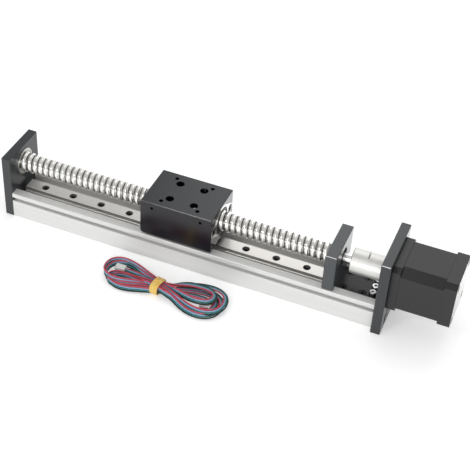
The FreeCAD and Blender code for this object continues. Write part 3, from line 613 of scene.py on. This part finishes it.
# %% Lead: the route
PLUG_RIGHT = (31.5, -56.5, 0)
PLUG_LEFT = (-44.5, -45.2, 0)
LEFT_LOOPS = [
    (-46.5, -51.6, -63.9, 3.2),
    (-50.0, -50.4, -62.8, 3.2),
    (-53.6, -39.4, -61.0, 4.0),
    (-55.4, -38.2, -60.2, 6.0),
]
RIGHT_LOOPS = [
    (38.6, -43.4, -62.6, 3.2),
    (42.6, -40.4, -67.4, 3.2),
    (45.0, -37.6, -65.0, 5.6),
    (36.0, -42.2, -57.8, 7.8),
]
route = [
    (35.8, -56.5, 2.9, 90),
    (38.2, -55.6, 3.0, 80),
    (37.8, -51.8, 3.0, 70),
    (32.5, -49.2, 3.2, 70),
    (23.5, -48.6, 3.4, 75),
    (13.0, -50.8, 3.6, 60),
    (4.0, -54.0, 3.8, 40),
    (-2.5, -56.3, 4.0, 20),
]
route += waist(0)
for number, (left_loop, right_loop) in enumerate(zip(LEFT_LOOPS, RIGHT_LOOPS)):
    route += left(*left_loop, number)
    route += right(*right_loop, number + 1)
route += [
    (-17.0, -49.4, 4.4, -20),
    (-24.0, -47.4, 4.0, -60),
    (-32.0, -46.0, 3.4, -80),
    (-37.5, -45.3, 3.1, -90),
    (-40.2, -45.2, 3.0, -90),
]
print("route points:", len(route))

# %% [markdown]
# The ribbon needs to know which way its width points. So the spline is drawn
# twice, once along the middle and once along one edge, with the same number
# of points. The step from a point of one to its partner in the other gives
# the direction of the width.


# %% Lead: its middle line and its edge line
def spline_points(name, points):
    """The points of a smooth spline along a route, read from a curve with no thickness."""
    curve = bpy.data.curves.new(name, "CURVE")
    curve.dimensions = "3D"
    spline = curve.splines.new("NURBS")
    spline.points.add(len(points) - 1)
    for target, point in zip(spline.points, points):
        target.co = (*point, 1)
    spline.order_u = 3
    spline.use_endpoint_u = True
    curve.resolution_u = 6
    holder = bpy.data.objects.new(name, curve)
    scene.collection.objects.link(holder)
    bpy.context.view_layer.update()
    mesh = bpy.data.meshes.new_from_object(holder.evaluated_get(bpy.context.evaluated_depsgraph_get()))
    found = [v.co.copy() for v in mesh.vertices]
    bpy.data.objects.remove(holder)
    bpy.data.meshes.remove(mesh)
    return found


def along(line, k):
    """The way a line runs at one of its points."""
    return (line[min(k + 1, len(line) - 1)] - line[max(k - 1, 0)]).normalized()


def edge_route(rows):
    """The line of the ribbon's upper edge: each point moved half a width, up or over."""
    points = [Vector(row[:3]) for row in rows]
    up = Vector((0, 0, 1))
    moved = []
    for k, point in enumerate(points):
        across = up.cross(along(points, k)).normalized()
        angle = math.radians(rows[k][3])
        out = up * math.cos(angle) + across * math.sin(angle)
        moved.append(point * MM + out * RIBBON / 2 * MM)
    return moved


middle_line = spline_points("lead_middle", [Vector(row[:3]) * MM for row in route])
edge_line = spline_points("lead_edge", edge_route(route))

# %% [markdown]
# Each wire is a tube of its own, beside the others across the ribbon's width.
# A bevelled curve would make one round cord, and a wire's own curve would
# twist where it turns over, so the rings are laid out point by point.


# %% Lead: four wires
TUBE_SIDES = 8


def wire_rings(mesh, offset):
    """The rings of one wire, an offset in mm away from the ribbon's middle line."""
    rings = []
    for k, point in enumerate(middle_line):
        forward = along(middle_line, k)
        width = edge_line[k] - point
        width = (width - forward * width.dot(forward)).normalized()
        normal = forward.cross(width)
        middle = point + width * offset * MM
        ring = []
        for s in range(TUBE_SIDES):
            angle = math.tau * (s + 0.5) / TUBE_SIDES
            reach = width * math.cos(angle) + normal * math.sin(angle)
            ring.append(mesh.verts.new(middle + reach * WIRE_RADIUS * MM))
        rings.append(ring)
    return rings


def ribbon(name):
    """All wires as one mesh. Each is closed at its ends and has a material slot of its own."""
    mesh = bmesh.new()
    for wire in range(WIRES):
        rings = wire_rings(mesh, (wire - (WIRES - 1) / 2) * WIRE)
        for ring, following in zip(rings, rings[1:]):
            for s in range(TUBE_SIDES):
                t = (s + 1) % TUBE_SIDES
                face = mesh.faces.new((ring[s], ring[t], following[t], following[s]))
                face.material_index = wire
                face.smooth = True
        mesh.faces.new(list(reversed(rings[0]))).material_index = wire
        mesh.faces.new(rings[-1]).material_index = wire
    data = bpy.data.meshes.new(name)
    mesh.to_mesh(data)
    mesh.free()
    obj = bpy.data.objects.new(name, data)
    scene.collection.objects.link(obj)
    return obj


lead = ribbon("lead_ribbon")
print("lead faces", len(lead.data.polygons))

# %% [markdown]
# The wires have soft insulation in four colours. It is waxy more than glossy,
# with slow changes along the wire. One loop makes all four finishes.

# %% Lead: colours, and its place in the model
WIRE_COLORS = {
    "black": (0.008, 0.016, 0.016),
    "green": (0.025, 0.17, 0.165),
    "blue": (0.24, 0.41, 0.60),
    "red": (0.52, 0.06, 0.09),
}
for color_name, color in WIRE_COLORS.items():
    insulation = finish("insulation_" + color_name, color, roughness=0.38)
    waxy = pattern(insulation, 700, detail=2)
    tint(insulation, waxy, [c * 0.85 for c in color], [c * 1.15 for c in color])
    vary(insulation, "Roughness", waxy, 0.30, 0.46)
    lead.data.materials.append(insulation)
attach(lead, "base")
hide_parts("lead_hank")
print("wire colours:", ", ".join(WIRE_COLORS))

# %% [markdown]
# From here on, pieces are modelled as by hand. An operator acts on whatever
# is selected, so each helper first says what that is. A finished piece keeps
# its object at the origin and its place in its mesh, as the frame's own nodes
# do, so that patterns on object coordinates stay where they are.


# %% Helpers: one piece at a time
def deselect():
    """Leave edit mode and select nothing."""
    if bpy.context.object and bpy.context.object.mode != "OBJECT":
        bpy.ops.object.mode_set(mode="OBJECT")
    bpy.ops.object.select_all(action="DESELECT")


def only(obj):
    """Select one object and make it the active one."""
    deselect()
    obj.select_set(True)
    bpy.context.view_layer.objects.active = obj
    return obj


def settle(obj):
    """Move an object's place into its mesh."""
    only(obj)
    bpy.ops.object.transform_apply(location=True, rotation=True, scale=True)
    return obj


def start(name):
    """Name the primitive that was just added, settle it and go into edit mode."""
    obj = bpy.context.object
    obj.name = name
    obj.data.name = name
    settle(obj)
    bpy.ops.object.mode_set(mode="EDIT")
    bpy.ops.mesh.select_all(action="DESELECT")
    return obj


# %% [markdown]
# Modifiers stay open to change while a piece is being made. At the end they
# are applied, so that the mesh is the shape. Smooth shading then hides the
# facets of round faces, and edges above an angle stay crisp.


# %% Helpers: finish a piece
def apply_all(obj):
    """Apply every modifier on a piece."""
    only(obj)
    for modifier in list(obj.modifiers):
        bpy.ops.object.modifier_apply(modifier=modifier.name)
    return obj


def smooth(obj, angle):
    """Shade a piece smooth, with edges sharper than an angle kept crisp."""
    only(obj)
    bpy.ops.object.shade_smooth_by_angle(angle=math.radians(angle))
    return obj


def joined(name, pieces):
    """Several pieces as one, under one name."""
    deselect()
    for piece in pieces:
        piece.select_set(True)
    bpy.context.view_layer.objects.active = pieces[0]
    if len(pieces) > 1:
        bpy.ops.object.join()
    pieces[0].name = name
    pieces[0].data.name = name
    return pieces[0]


# %% [markdown]
# Turned pieces start from an outline of (x, radius) points. It is drawn like
# a pencil line: a plane is merged to one point, and the point is extruded
# from corner to corner.


# %% Helpers: draw an outline, and close a shell
def draw(name, outline):
    """A chain of edges in mm, each point extruded from the last. Stays in edit mode."""
    deselect()
    bpy.ops.mesh.primitive_plane_add(size=MM)
    obj = start(name)
    bpy.ops.mesh.select_mode(type="VERT")
    bpy.ops.mesh.select_all(action="SELECT")
    bpy.ops.mesh.merge(type="CENTER")
    last = Vector((0, 0, 0))
    for k, (x, radius) in enumerate(outline):
        point = Vector((x * MM, 0, radius * MM))
        if k == 0:
            bpy.ops.transform.translate(value=point)
        else:
            bpy.ops.mesh.extrude_region_move(TRANSFORM_OT_translate={"value": point - last})
        last = point
    return obj


def close_up():
    """Merge what coincides and point every face outwards."""
    bpy.ops.mesh.select_all(action="SELECT")
    bpy.ops.mesh.remove_doubles(threshold=1e-6)
    bpy.ops.mesh.normals_make_consistent(inside=False)


# %% [markdown]
# New pieces take the place of nodes. Each one rides on its node's body, so
# the bodies are looked up once here.

# %% Helper: a piece that stands for a node
body_of = {}
for body, members in frame["record"]["behaviour"]["bodies"].items():
    for member in members:
        body_of[member] = body


def stands_for(obj, node, material):
    """Put a finished piece in a node's place and print how far their boxes differ, in mm."""
    dress(material, obj)
    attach(obj, body_of[node])
    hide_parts(node)
    low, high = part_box(node)
    corners = [v.co for v in obj.data.vertices]
    gap = max(
        max(abs(min(c[k] for c in corners) - low[k]), abs(max(c[k] for c in corners) - high[k]))
        for k in range(3)
    )
    print(node, "faces", len(obj.data.polygons), "box differs by", round(gap / MM, 2))
    return obj


# %% [markdown]
# The ball track makes this a ball screw: a round groove, wider than the land
# between its turns, that climbs 5 mm a turn, right-handed. One turn's outline
# is drawn from land to land, and the Screw modifier winds it along X. Winding
# gives even rows of faces. Cutting a helical groove out of a rod would leave
# long slivers along the lands.

# %% Ball screw: wind the track
CLIMB = 5.0
LAND_RADIUS = 8.0
LAND_HALF = 0.84
TRACK_RADIUS = 1.62
TRACK_MIDDLE = 8.52
TRACK_SWING = 68
THREAD_START = -150.3
THREAD_END = 108.2
TRACK_TURNS = 56
FACES_A_TURN = 40
first_turn = THREAD_START - CLIMB * 2
one_turn = [(0.0, LAND_RADIUS), (LAND_HALF, LAND_RADIUS)]
for k in range(9):
    swing = math.radians(TRACK_SWING * (k / 4 - 1))
    one_turn.append((CLIMB / 2 + TRACK_RADIUS * math.sin(swing), TRACK_MIDDLE - TRACK_RADIUS * math.cos(swing)))
one_turn += [(CLIMB - LAND_HALF, LAND_RADIUS), (CLIMB, LAND_RADIUS)]
track = draw("ball_track", [(first_turn + x, radius) for x, radius in one_turn])
bpy.ops.object.mode_set(mode="OBJECT")
winding = track.modifiers.new("winding", "SCREW")
winding.axis = "X"
winding.angle = math.tau
winding.screw_offset = CLIMB * MM
winding.iterations = TRACK_TURNS
winding.steps = winding.render_steps = FACES_A_TURN
apply_all(track)
print("track faces", len(track.data.polygons))

# %% [markdown]
# The winding starts and ends on a slant, as a spring does, so it is made a
# little too long. Two planes cut it square at its ends and fill them. The
# track's lowest points then tell which way it climbs.

# %% Ball screw: square ends
bpy.ops.object.mode_set(mode="EDIT")
close_up()
for end, outward in ((THREAD_START, -1), (THREAD_END, 1)):
    bpy.ops.mesh.select_all(action="SELECT")
    bpy.ops.mesh.bisect(
        plane_co=(end * MM, 0, 0), plane_no=(outward, 0, 0), use_fill=True, clear_outer=True, threshold=1e-7
    )
close_up()
bpy.ops.object.mode_set(mode="OBJECT")
low_radius = (TRACK_MIDDLE - TRACK_RADIUS + 0.02) * MM
low_points = [v.co for v in track.data.vertices if math.hypot(v.co.y, v.co.z) < low_radius]
at_side = sorted({round(v.x / MM % CLIMB, 2) for v in low_points if v.y > 0 and abs(v.z) < 1e-5})
at_top = sorted({round(v.x / MM % CLIMB, 2) for v in low_points if v.z > 0 and abs(v.y) < 1e-5})
print("track middle at the far side", at_side[:2], "a quarter turn on, at the top", at_top[:2])

# %% [markdown]
# The shaft under the track is turned: a journal for each bearing, and a
# shoulder that each bearing's inner ring stops against. It runs on inside the
# track, so the two closed shells overlap and read as one piece of steel.


# %% Ball screw: shoulders and journals
CORE_OUTLINE = [
    (-159.0, 0), (-159.0, 3.6), (-158.6, 4.0), (-151.3, 4.0), (-151.3, 5.9), (109.2, 5.9),
    (109.2, 4.0), (134.9, 4.0), (135.4, 3.5), (135.4, 0),
]


def lathe(name, outline, steps, place=(0, 0, 0)):
    """A turned piece: its outline is drawn, then spun about X and moved to its place."""
    obj = draw(name, outline)
    bpy.ops.mesh.select_all(action="SELECT")
    bpy.ops.mesh.spin(steps=steps, angle=math.tau, center=(0, 0, 0), axis=(1, 0, 0))
    close_up()
    bpy.ops.object.mode_set(mode="OBJECT")
    obj.location = Vector(place) * MM
    return settle(obj)


core = lathe("ball_screw_core", CORE_OUTLINE, 40)
ball_screw = joined("ball_screw_threaded", [track, core])
ball_screw.location = Vector(AXIS) * MM
settle(ball_screw)
smooth(ball_screw, 40)
stands_for(ball_screw, "ball_screw", screw_steel)

# %% [markdown]
# Every fastener here is a metric cap screw with a hexagon socket. One of each
# size is turned, and its socket is cut with a six-sided punch by a Boolean.
# The sizes are those of the standard: thread, head and key go together.


# %% Cap screws: turned blanks
# thread radius, head radius, head height and width of the key, in mm
METRIC = {
    "m2_5": (1.25, 2.25, 2.5, 2.0),
    "m3": (1.5, 2.75, 3.0, 2.5),
    "m4": (2.0, 3.5, 4.0, 3.0),
    "m5": (2.5, 4.25, 5.0, 4.0),
}
SCREW_STEPS = 28
# how far the edges of a head are eased, in mm, and a point's length and radius beside the thread's
HEAD_EDGE = (0.3, 0.35)
HEAD_FOOT = 0.15
POINT = (0.4, 0.6)


def pick_faces(obj, test):
    """In edit mode, select the faces whose middle and normal pass a test."""
    bpy.ops.mesh.select_mode(type="FACE")
    bpy.ops.mesh.select_all(action="DESELECT")
    mesh = bmesh.from_edit_mesh(obj.data)
    for face in mesh.faces:
        if test(face.calc_center_median(), face.normal):
            face.select = True
    mesh.select_flush_mode()
    bmesh.update_edit_mesh(obj.data)


def screw_blank(name, thread, head, height, length):
    """A cap screw without its socket, along X: its head above the origin, its shank below."""
    outline = [
        (height, 0), (height, head - HEAD_EDGE[1]), (height - HEAD_EDGE[0], head),
        (HEAD_FOOT, head), (0, head - HEAD_FOOT), (0, thread),
        (POINT[0] * thread - length, thread), (-length, POINT[1] * thread), (-length, 0),
    ]
    return lathe(name, outline, SCREW_STEPS)


# %% [markdown]
# The socket could be drawn into the head with an inset and an extrude. A
# punch is quicker to aim: the Boolean takes its shape out of the head in one
# go, as the cold press does with the real screw.


# %% Cap screws: the socket
FACES_AN_AXIS = 0.9
TIP_INSET = 0.12
TIP_DEPTH = 0.2


def punch_for(name, height, key):
    """A six-sided punch for a head's socket, with a slight cone at its tip as a drill leaves."""
    deselect()
    bpy.ops.mesh.primitive_cylinder_add(
        vertices=6,
        radius=key / math.sqrt(3) * MM,
        depth=height * MM,
        location=(height * MM, 0, 0),
        rotation=(0, math.pi / 2, 0),
    )
    punch = start(name)
    pick_faces(punch, lambda middle, normal: normal.x < -FACES_AN_AXIS)
    bpy.ops.mesh.inset(thickness=key * TIP_INSET * MM)
    bpy.ops.transform.translate(value=(-TIP_DEPTH * MM, 0, 0))
    bpy.ops.object.mode_set(mode="OBJECT")
    return punch


def cap_screw(size, length):
    """One finished cap screw of a metric size and a length in mm."""
    thread, head, height, key = METRIC[size]
    screw = screw_blank("screw_" + size, thread, head, height, length)
    punch = punch_for("punch_" + size, height, key)
    socket = screw.modifiers.new("socket", "BOOLEAN")
    socket.operation = "DIFFERENCE"
    socket.object = punch
    apply_all(screw)
    bpy.data.objects.remove(punch)
    return smooth(screw, 30)


# %% [markdown]
# A screw is then copied to its seats, each copy clocked a little differently,
# as screws that were tightened by hand are. Linked copies would be lighter,
# but each needs its place in a mesh of its own.


# %% Cap screws: a set at its seats
FIRST_CLOCK = 0.4
CLOCK_STEP = 0.83
UP, DOWN = (0, 0, 1), (0, 0, -1)
TO_MOTOR, TO_FREE_END = (1, 0, 0), (-1, 0, 0)


def set_of_screws(node, size, length, seats, direction, material):
    """Copies of one screw at their seats in mm, heads along one direction, standing for a node."""
    model = cap_screw(size, length)
    upright = Vector((1, 0, 0)).rotation_difference(Vector(direction)).to_matrix().to_4x4()
    copies = []
    for k, seat in enumerate(seats):
        copy = model.copy()
        copy.data = model.data.copy()
        scene.collection.objects.link(copy)
        clock = Matrix.Rotation(FIRST_CLOCK + CLOCK_STEP * k, 4, "X")
        copy.matrix_world = Matrix.Translation(Vector(seat) * MM) @ upright @ clock
        settle(copy)
        copies.append(copy)
    bpy.data.objects.remove(model)
    return stands_for(joined(node + "_set", copies), node, material)


# %% [markdown]
# The seats repeat the solid model's own places. Four dark screws sit in the
# drive base, three bright ones clamp it, and ten hold the rail every 25 mm.
# Four more hold the table to the guide's carriage, down beside the nut. The
# plates are held from their outer faces.

# %% Cap screws: base, rail, carriage and plates
rail_seats = [(-133.9 + 25 * k, 0, 15.0) for k in range(10)]
carriage_seats = [(-9.7 + a, b, 28.0) for a in (-10, 10) for b in (-10, 10)]
drive_seats = [(x, y, 16.3) for x in (123.2, 138.2) for y in (-8.5, 8.5)]
clamp_seats = [(145.8, y, 19.5) for y in (-7.2, 0, 7.2)]
set_of_screws("drive_base_screws", "m3", 10.8, drive_seats, UP, dark_screw)
set_of_screws("drive_clamp_screws", "m3", 13.0, clamp_seats, UP, bright_screw)
set_of_screws("rail_screws", "m3", 10.0, rail_seats, UP, dark_screw)
set_of_screws("carriage_screws", "m3", 8.0, carriage_seats, UP, dark_screw)
set_of_screws("end_plate_screws", "m5", 16.0, [(-154.3, y, 8.0) for y in (-15, 15)], TO_FREE_END, dark_screw)
set_of_screws("motor_plate_screws", "m5", 16.0, [(154.3, y, 8.0) for y in (-15, 15)], TO_MOTOR, dark_screw)
set_of_screws("drive_tie_screws", "m4", 12.0, [(155.3, y, 15.8) for y in (-11.4, 11.4)], TO_MOTOR, dark_screw)
set_of_screws("bearing_plate_screws", "m4", 23.8, [(113.7, y, 4.2) for y in (-6, 6)], DOWN, bright_screw)

# %% [markdown]
# Two screws go through the ears of the nut's flange. The motor has four
# screws from its plate and four long ones from behind. The coupling's two
# clamp screws lie across its slit, which leans fourteen degrees, so their
# seats are found from that lean.

# %% Cap screws: nut, motor and coupling
COUPLING_LEAN = math.radians(14)
CLAMP_OFFSET = 6.2
CLAMP_SEAT = 2.5
corners = [(y, z) for y in (-15.5, 15.5) for z in (25.5, 56.5)]
set_of_screws("nut_screws", "m4", 10.0, [(15.6, y, 41.0) for y in (-16, 16)], TO_MOTOR, dark_screw)
set_of_screws("motor_mount_screws", "m3", 7.7, [(155.2, y, z) for y, z in corners], TO_FREE_END, bright_screw)
set_of_screws("motor_tie_screws", "m3", 40.9, [(204.3, y, z) for y, z in corners], TO_MOTOR, dark_screw)
outward = Vector((0, math.cos(COUPLING_LEAN), math.sin(COUPLING_LEAN)))
across = Vector((0, math.sin(COUPLING_LEAN), -math.cos(COUPLING_LEAN)))
beside = Vector(AXIS) + outward * CLAMP_OFFSET + across * CLAMP_SEAT
coupling_seats = [beside + Vector((x, 0, 0)) for x in (130.6, 145.2)]
set_of_screws("coupling_screws", "m2_5", 8.0, coupling_seats, across, dark_screw)

# %% [markdown]
# Each bearing is closed by a pair of pressed shields. A real shield isn't a
# flat washer: it is stepped twice, so that it stays stiff, and curled at its
# rim where it snaps into the outer ring. Its closed outline is spun about X.


# %% Bearing shields
SHIELD_OUTLINE = [
    (0.0, 9.45), (-0.05, 9.2), (-0.05, 9.0), (-0.22, 8.7), (-0.22, 7.2), (-0.05, 6.9),
    (-0.05, 6.3), (-0.25, 6.3), (-0.25, 6.8), (-0.4, 7.1), (-0.4, 8.8), (-0.4, 9.45), (0.0, 9.45),
]
BEARING_ENDS = [(-158.3, -1), (-151.3, 1), (109.2, -1), (116.2, 1)]
SHIELD_INSET = 0.3


def shield(name, place, facing):
    """One pressed shield with its face towards -X or +X, from its outer face's place."""
    rows = [(place + facing * x, radius) for x, radius in SHIELD_OUTLINE]
    return lathe(name, rows, 48, AXIS)


shields = [
    shield("shield_%d" % k, end - facing * SHIELD_INSET, facing) for k, (end, facing) in enumerate(BEARING_ENDS)
]
stands_for(smooth(joined("shields_pressed", shields), 30), "screw_bearing_shields", polished)

# %% [markdown]
# The two plugs are small moulded housings. Each starts as a block, gets a
# mouth where it mates, a row of grip ribs along its top, and softened edges.


# %% Plugs
PLUG_SIZE = (8.0, 5.0, 5.6)
PLUG_WALL = 0.7
PLUG_EDGE = 0.15
MOUTH_DEPTH = 3.0
RIB_CUTS = 7
RIB_HALF_WIDTH = 1.6
RIB_DEPTH = 0.35
JUST_INSIDE = 0.1


def under_or_on_top(middle, normal):
    """The block's outer faces below and above, not those inside its mouth."""
    from_middle = abs(middle.z - PLUG_SIZE[2] / 2 * MM)
    return abs(normal.z) > FACES_AN_AXIS and from_middle > (PLUG_SIZE[2] / 2 - JUST_INSIDE) * MM


def between_ribs(middle, normal):
    """Top faces in every second millimetre of the block's length, apart from its long edges."""
    on_top = normal.z > FACES_AN_AXIS and middle.z > (PLUG_SIZE[2] - JUST_INSIDE) * MM
    return on_top and abs(middle.y) < RIB_HALF_WIDTH * MM and int(middle.x / MM + PLUG_SIZE[0]) % 2 == 0


def plug(name, place):
    """A connector housing about a place in mm on the floor. Its mouth points to -X, its wires leave to +X."""
    deselect()
    bpy.ops.mesh.primitive_cube_add(
        size=1, location=(0, 0, PLUG_SIZE[2] / 2 * MM), scale=[s * MM for s in PLUG_SIZE]
    )
    body = start(name)
    pick_faces(body, lambda middle, normal: normal.x < -FACES_AN_AXIS)
    bpy.ops.mesh.inset(thickness=PLUG_WALL * MM)
    bpy.ops.mesh.extrude_region_move(TRANSFORM_OT_translate={"value": (MOUTH_DEPTH * MM, 0, 0)})
    pick_faces(body, under_or_on_top)
    bpy.ops.mesh.subdivide(number_cuts=RIB_CUTS)
    pick_faces(body, between_ribs)
    bpy.ops.mesh.extrude_region_move(TRANSFORM_OT_translate={"value": (0, 0, -RIB_DEPTH * MM)})
    bpy.ops.object.mode_set(mode="OBJECT")
    edges = body.modifiers.new("edges", "BEVEL")
    edges.width = PLUG_EDGE * MM
    edges.segments = 2
    edges.limit_method = "ANGLE"
    apply_all(body)
    body.location = Vector(place) * MM
    return smooth(settle(body), 40)


plugs = joined("plugs_moulded", [plug("plug_left", PLUG_LEFT), plug("plug_right", PLUG_RIGHT)])
stands_for(plugs, "lead_plugs", white_plastic)

# %% [markdown]
# The tie is a soft hook-and-loop strip drawn tight round the waist. A tube
# with open ends is squared off to the bundle's section, given a thickness,
# and its edges are rounded. A cloth simulation would wrinkle it more, but at
# 7 mm wide nobody sees that.

# %% Tie: the band
BAND_SIDES = 40
BAND_HALF = (7.1, 4.9)
BAND_WIDTH = 6.6
BAND_WALL = 1.0
BAND_HEIGHT = 5.2
CLOTH_EDGE = 0.3
SQUARENESS = 3.2
TIE_TURN = math.radians(-8)
deselect()
bpy.ops.mesh.primitive_cylinder_add(
    vertices=BAND_SIDES, radius=MM, depth=BAND_WIDTH * MM, end_fill_type="NOTHING", rotation=(0, math.pi / 2, 0)
)
band = start("tie_band")
mesh = bmesh.from_edit_mesh(band.data)
for vert in mesh.verts:
    y, z = vert.co.y / MM, vert.co.z / MM
    square = (abs(y) ** SQUARENESS + abs(z) ** SQUARENESS) ** (1 / SQUARENESS)
    vert.co.y = y / square * BAND_HALF[0] * MM
    vert.co.z = z / square * BAND_HALF[1] * MM
bmesh.update_edit_mesh(band.data)
bpy.ops.mesh.select_all(action="SELECT")
bpy.ops.mesh.subdivide(number_cuts=1)
bpy.ops.object.mode_set(mode="OBJECT")
wall = band.modifiers.new("wall", "SOLIDIFY")
wall.thickness = BAND_WALL * MM
wall.offset = -1
edges = band.modifiers.new("edges", "BEVEL")
edges.width = CLOTH_EDGE * MM
edges.segments = 2
edges.limit_method = "ANGLE"
edges.angle_limit = math.radians(60)
apply_all(band)
band.rotation_euler = (0, 0, TIE_TURN)
band.location = Vector((WAIST_X, WAIST_Y, BAND_HEIGHT)) * MM
settle(band)
print("band faces", len(band.data.polygons))

# %% [markdown]
# The strip's end is laid over itself on the far shoulder. It is a thin block
# with enough cuts to curl down at both ends, narrowed a little at its tip.

# %% Tie: its end
TAB_SIZE = (6.4, 5.4, 1.0)
TAB_CUTS = 6
TAB_CURL = 0.0605
TAB_TIP = 2.6
TAB_NARROWER = 0.86
TAB_PLACE = (-8.6, -50.6, 10.35)
deselect()
bpy.ops.mesh.primitive_cube_add(size=1, scale=[s * MM for s in TAB_SIZE])
tab = start("tie_tab")
bpy.ops.mesh.select_all(action="SELECT")
bpy.ops.mesh.subdivide(number_cuts=TAB_CUTS)
mesh = bmesh.from_edit_mesh(tab.data)
for vert in mesh.verts:
    from_near_end = vert.co.y / MM + TAB_SIZE[1] / 2
    vert.co.z -= TAB_CURL * from_near_end**2 * MM
    if vert.co.y > TAB_TIP * MM:
        vert.co.x *= TAB_NARROWER
bmesh.update_edit_mesh(tab.data)
bpy.ops.object.mode_set(mode="OBJECT")
edges = tab.modifiers.new("edges", "BEVEL")
edges.width = CLOTH_EDGE * MM
edges.segments = 2
edges.limit_method = "ANGLE"
apply_all(tab)
tab.rotation_euler = (0, 0, TIE_TURN)
tab.location = Vector(TAB_PLACE) * MM
settle(tab)
print("end faces", len(tab.data.polygons))

# %% [markdown]
# The strip's cloth is a nap of tiny loops. Cells of Voronoi noise raise them,
# a soft noise mixes two yellows, and sheen adds the fuzz's pale rim.

# %% Tie: cloth
tie_cloth = finish("tie_yellow", (0.90, 0.50, 0.04), roughness=0.85, Sheen_Weight=0.4)
nap = pattern(tie_cloth, 900, detail=3)
tint(tie_cloth, nap, (0.98, 0.50, 0.03), (1.0, 0.80, 0.24), 0.35, 0.65)
loops = pattern(tie_cloth, 1600, kind="ShaderNodeTexVoronoi")
relief(tie_cloth, loops, 0.0004, 0.9)
tie = smooth(joined("tie_wrapped", [band, tab]), 50)
stands_for(tie, "lead_tie", tie_cloth)

# %% [markdown]
# The floor is matt white paper. To the camera and in mirrors it also glows a
# little, so that it reads as white without more light on the module. Behind
# the right half it shows mirrors a pure white card, as photographers put up
# for bright metal. A matt surface gets no light from either.


# %% Floor
FLOOR_SIZE = 6
PAPER_GLOW = 0.34
CARD_STARTS = {"Y": (0.02, 0.06), "X": (-0.06, 0.02)}
bpy.ops.mesh.primitive_plane_add(size=FLOOR_SIZE)
floor = bpy.context.object
floor.name = "floor"
paper = finish("paper", (0.9, 0.9, 0.9), roughness=0.9)
ray = paper.node_tree.nodes.new("ShaderNodeLightPath").outputs
place = split(paper, coordinate(paper, "Object"))


def beyond(axis):
    """0 to 1 across a soft edge along an axis."""
    edge = paper.node_tree.nodes.new("ShaderNodeMapRange")
    edge.inputs["From Min"].default_value, edge.inputs["From Max"].default_value = CARD_STARTS[axis]
    paper.node_tree.links.new(place[axis], edge.inputs["Value"])
    return edge.outputs["Result"]


seen = step(paper, "Math", "MAXIMUM", ray["Is Camera Ray"], ray["Is Glossy Ray"]).outputs[0]
glow = step(paper, "Math", "MULTIPLY", seen, PAPER_GLOW).outputs[0]
corner = step(paper, "Math", "MULTIPLY", beyond("Y"), beyond("X")).outputs[0]
card = step(paper, "Math", "MULTIPLY", corner, ray["Is Glossy Ray"]).outputs[0]
total = step(paper, "Math", "ADD", glow, card).outputs[0]
shader = paper.node_tree.nodes["Principled BSDF"]
shader.inputs["Emission Color"].default_value = (1, 1, 1, 1)
paper.node_tree.links.new(total, shader.inputs["Emission Strength"])
dress(paper, floor)

# %% [markdown]
# The light is that of a white studio: an even sky, a large soft lamp behind
# and one in front, a small one that draws the edges, and a low wide one that
# gives the metal a horizon to mirror. Large lamps make soft shadows.


# %% Light
SKY = 0.62
# place, target, size in metres, and power in watts
LAMPS = {
    "behind": ((0.02, 0.8, 1.0), (0, 0, 0), (0.95, 1.2), 3.4),
    "front": ((0.2, -1.3, 0.35), (0, 0, 0.02), (1.2, 0.5), 6),
    "edges": ((-0.33, -0.85, 0.93), (0, 0, 0.03), (0.16, 0.16), 1.5),
    "horizon": ((-0.6, 2.2, 0.32), (0, 0, 0.05), (3.0, 0.55), 5),
}
world = bpy.data.worlds.new("studio")
scene.world = world
world.use_nodes = True
background = world.node_tree.nodes["Background"]
background.inputs["Color"].default_value = (1, 1, 1, 1)
background.inputs["Strength"].default_value = SKY


def lamp(name, place, target, size, power):
    """A soft rectangular lamp that looks at a point."""
    data = bpy.data.lights.new(name, "AREA")
    data.shape = "RECTANGLE"
    data.size, data.size_y = size
    data.energy = power
    obj = bpy.data.objects.new(name, data)
    scene.collection.objects.link(obj)
    aim = (Vector(target) - Vector(place)).to_track_quat("-Z", "Y")
    obj.matrix_world = Matrix.Translation(place) @ aim.to_matrix().to_4x4()


for name, row in LAMPS.items():
    lamp(name, *row)
print("lamps:", ", ".join(LAMPS))
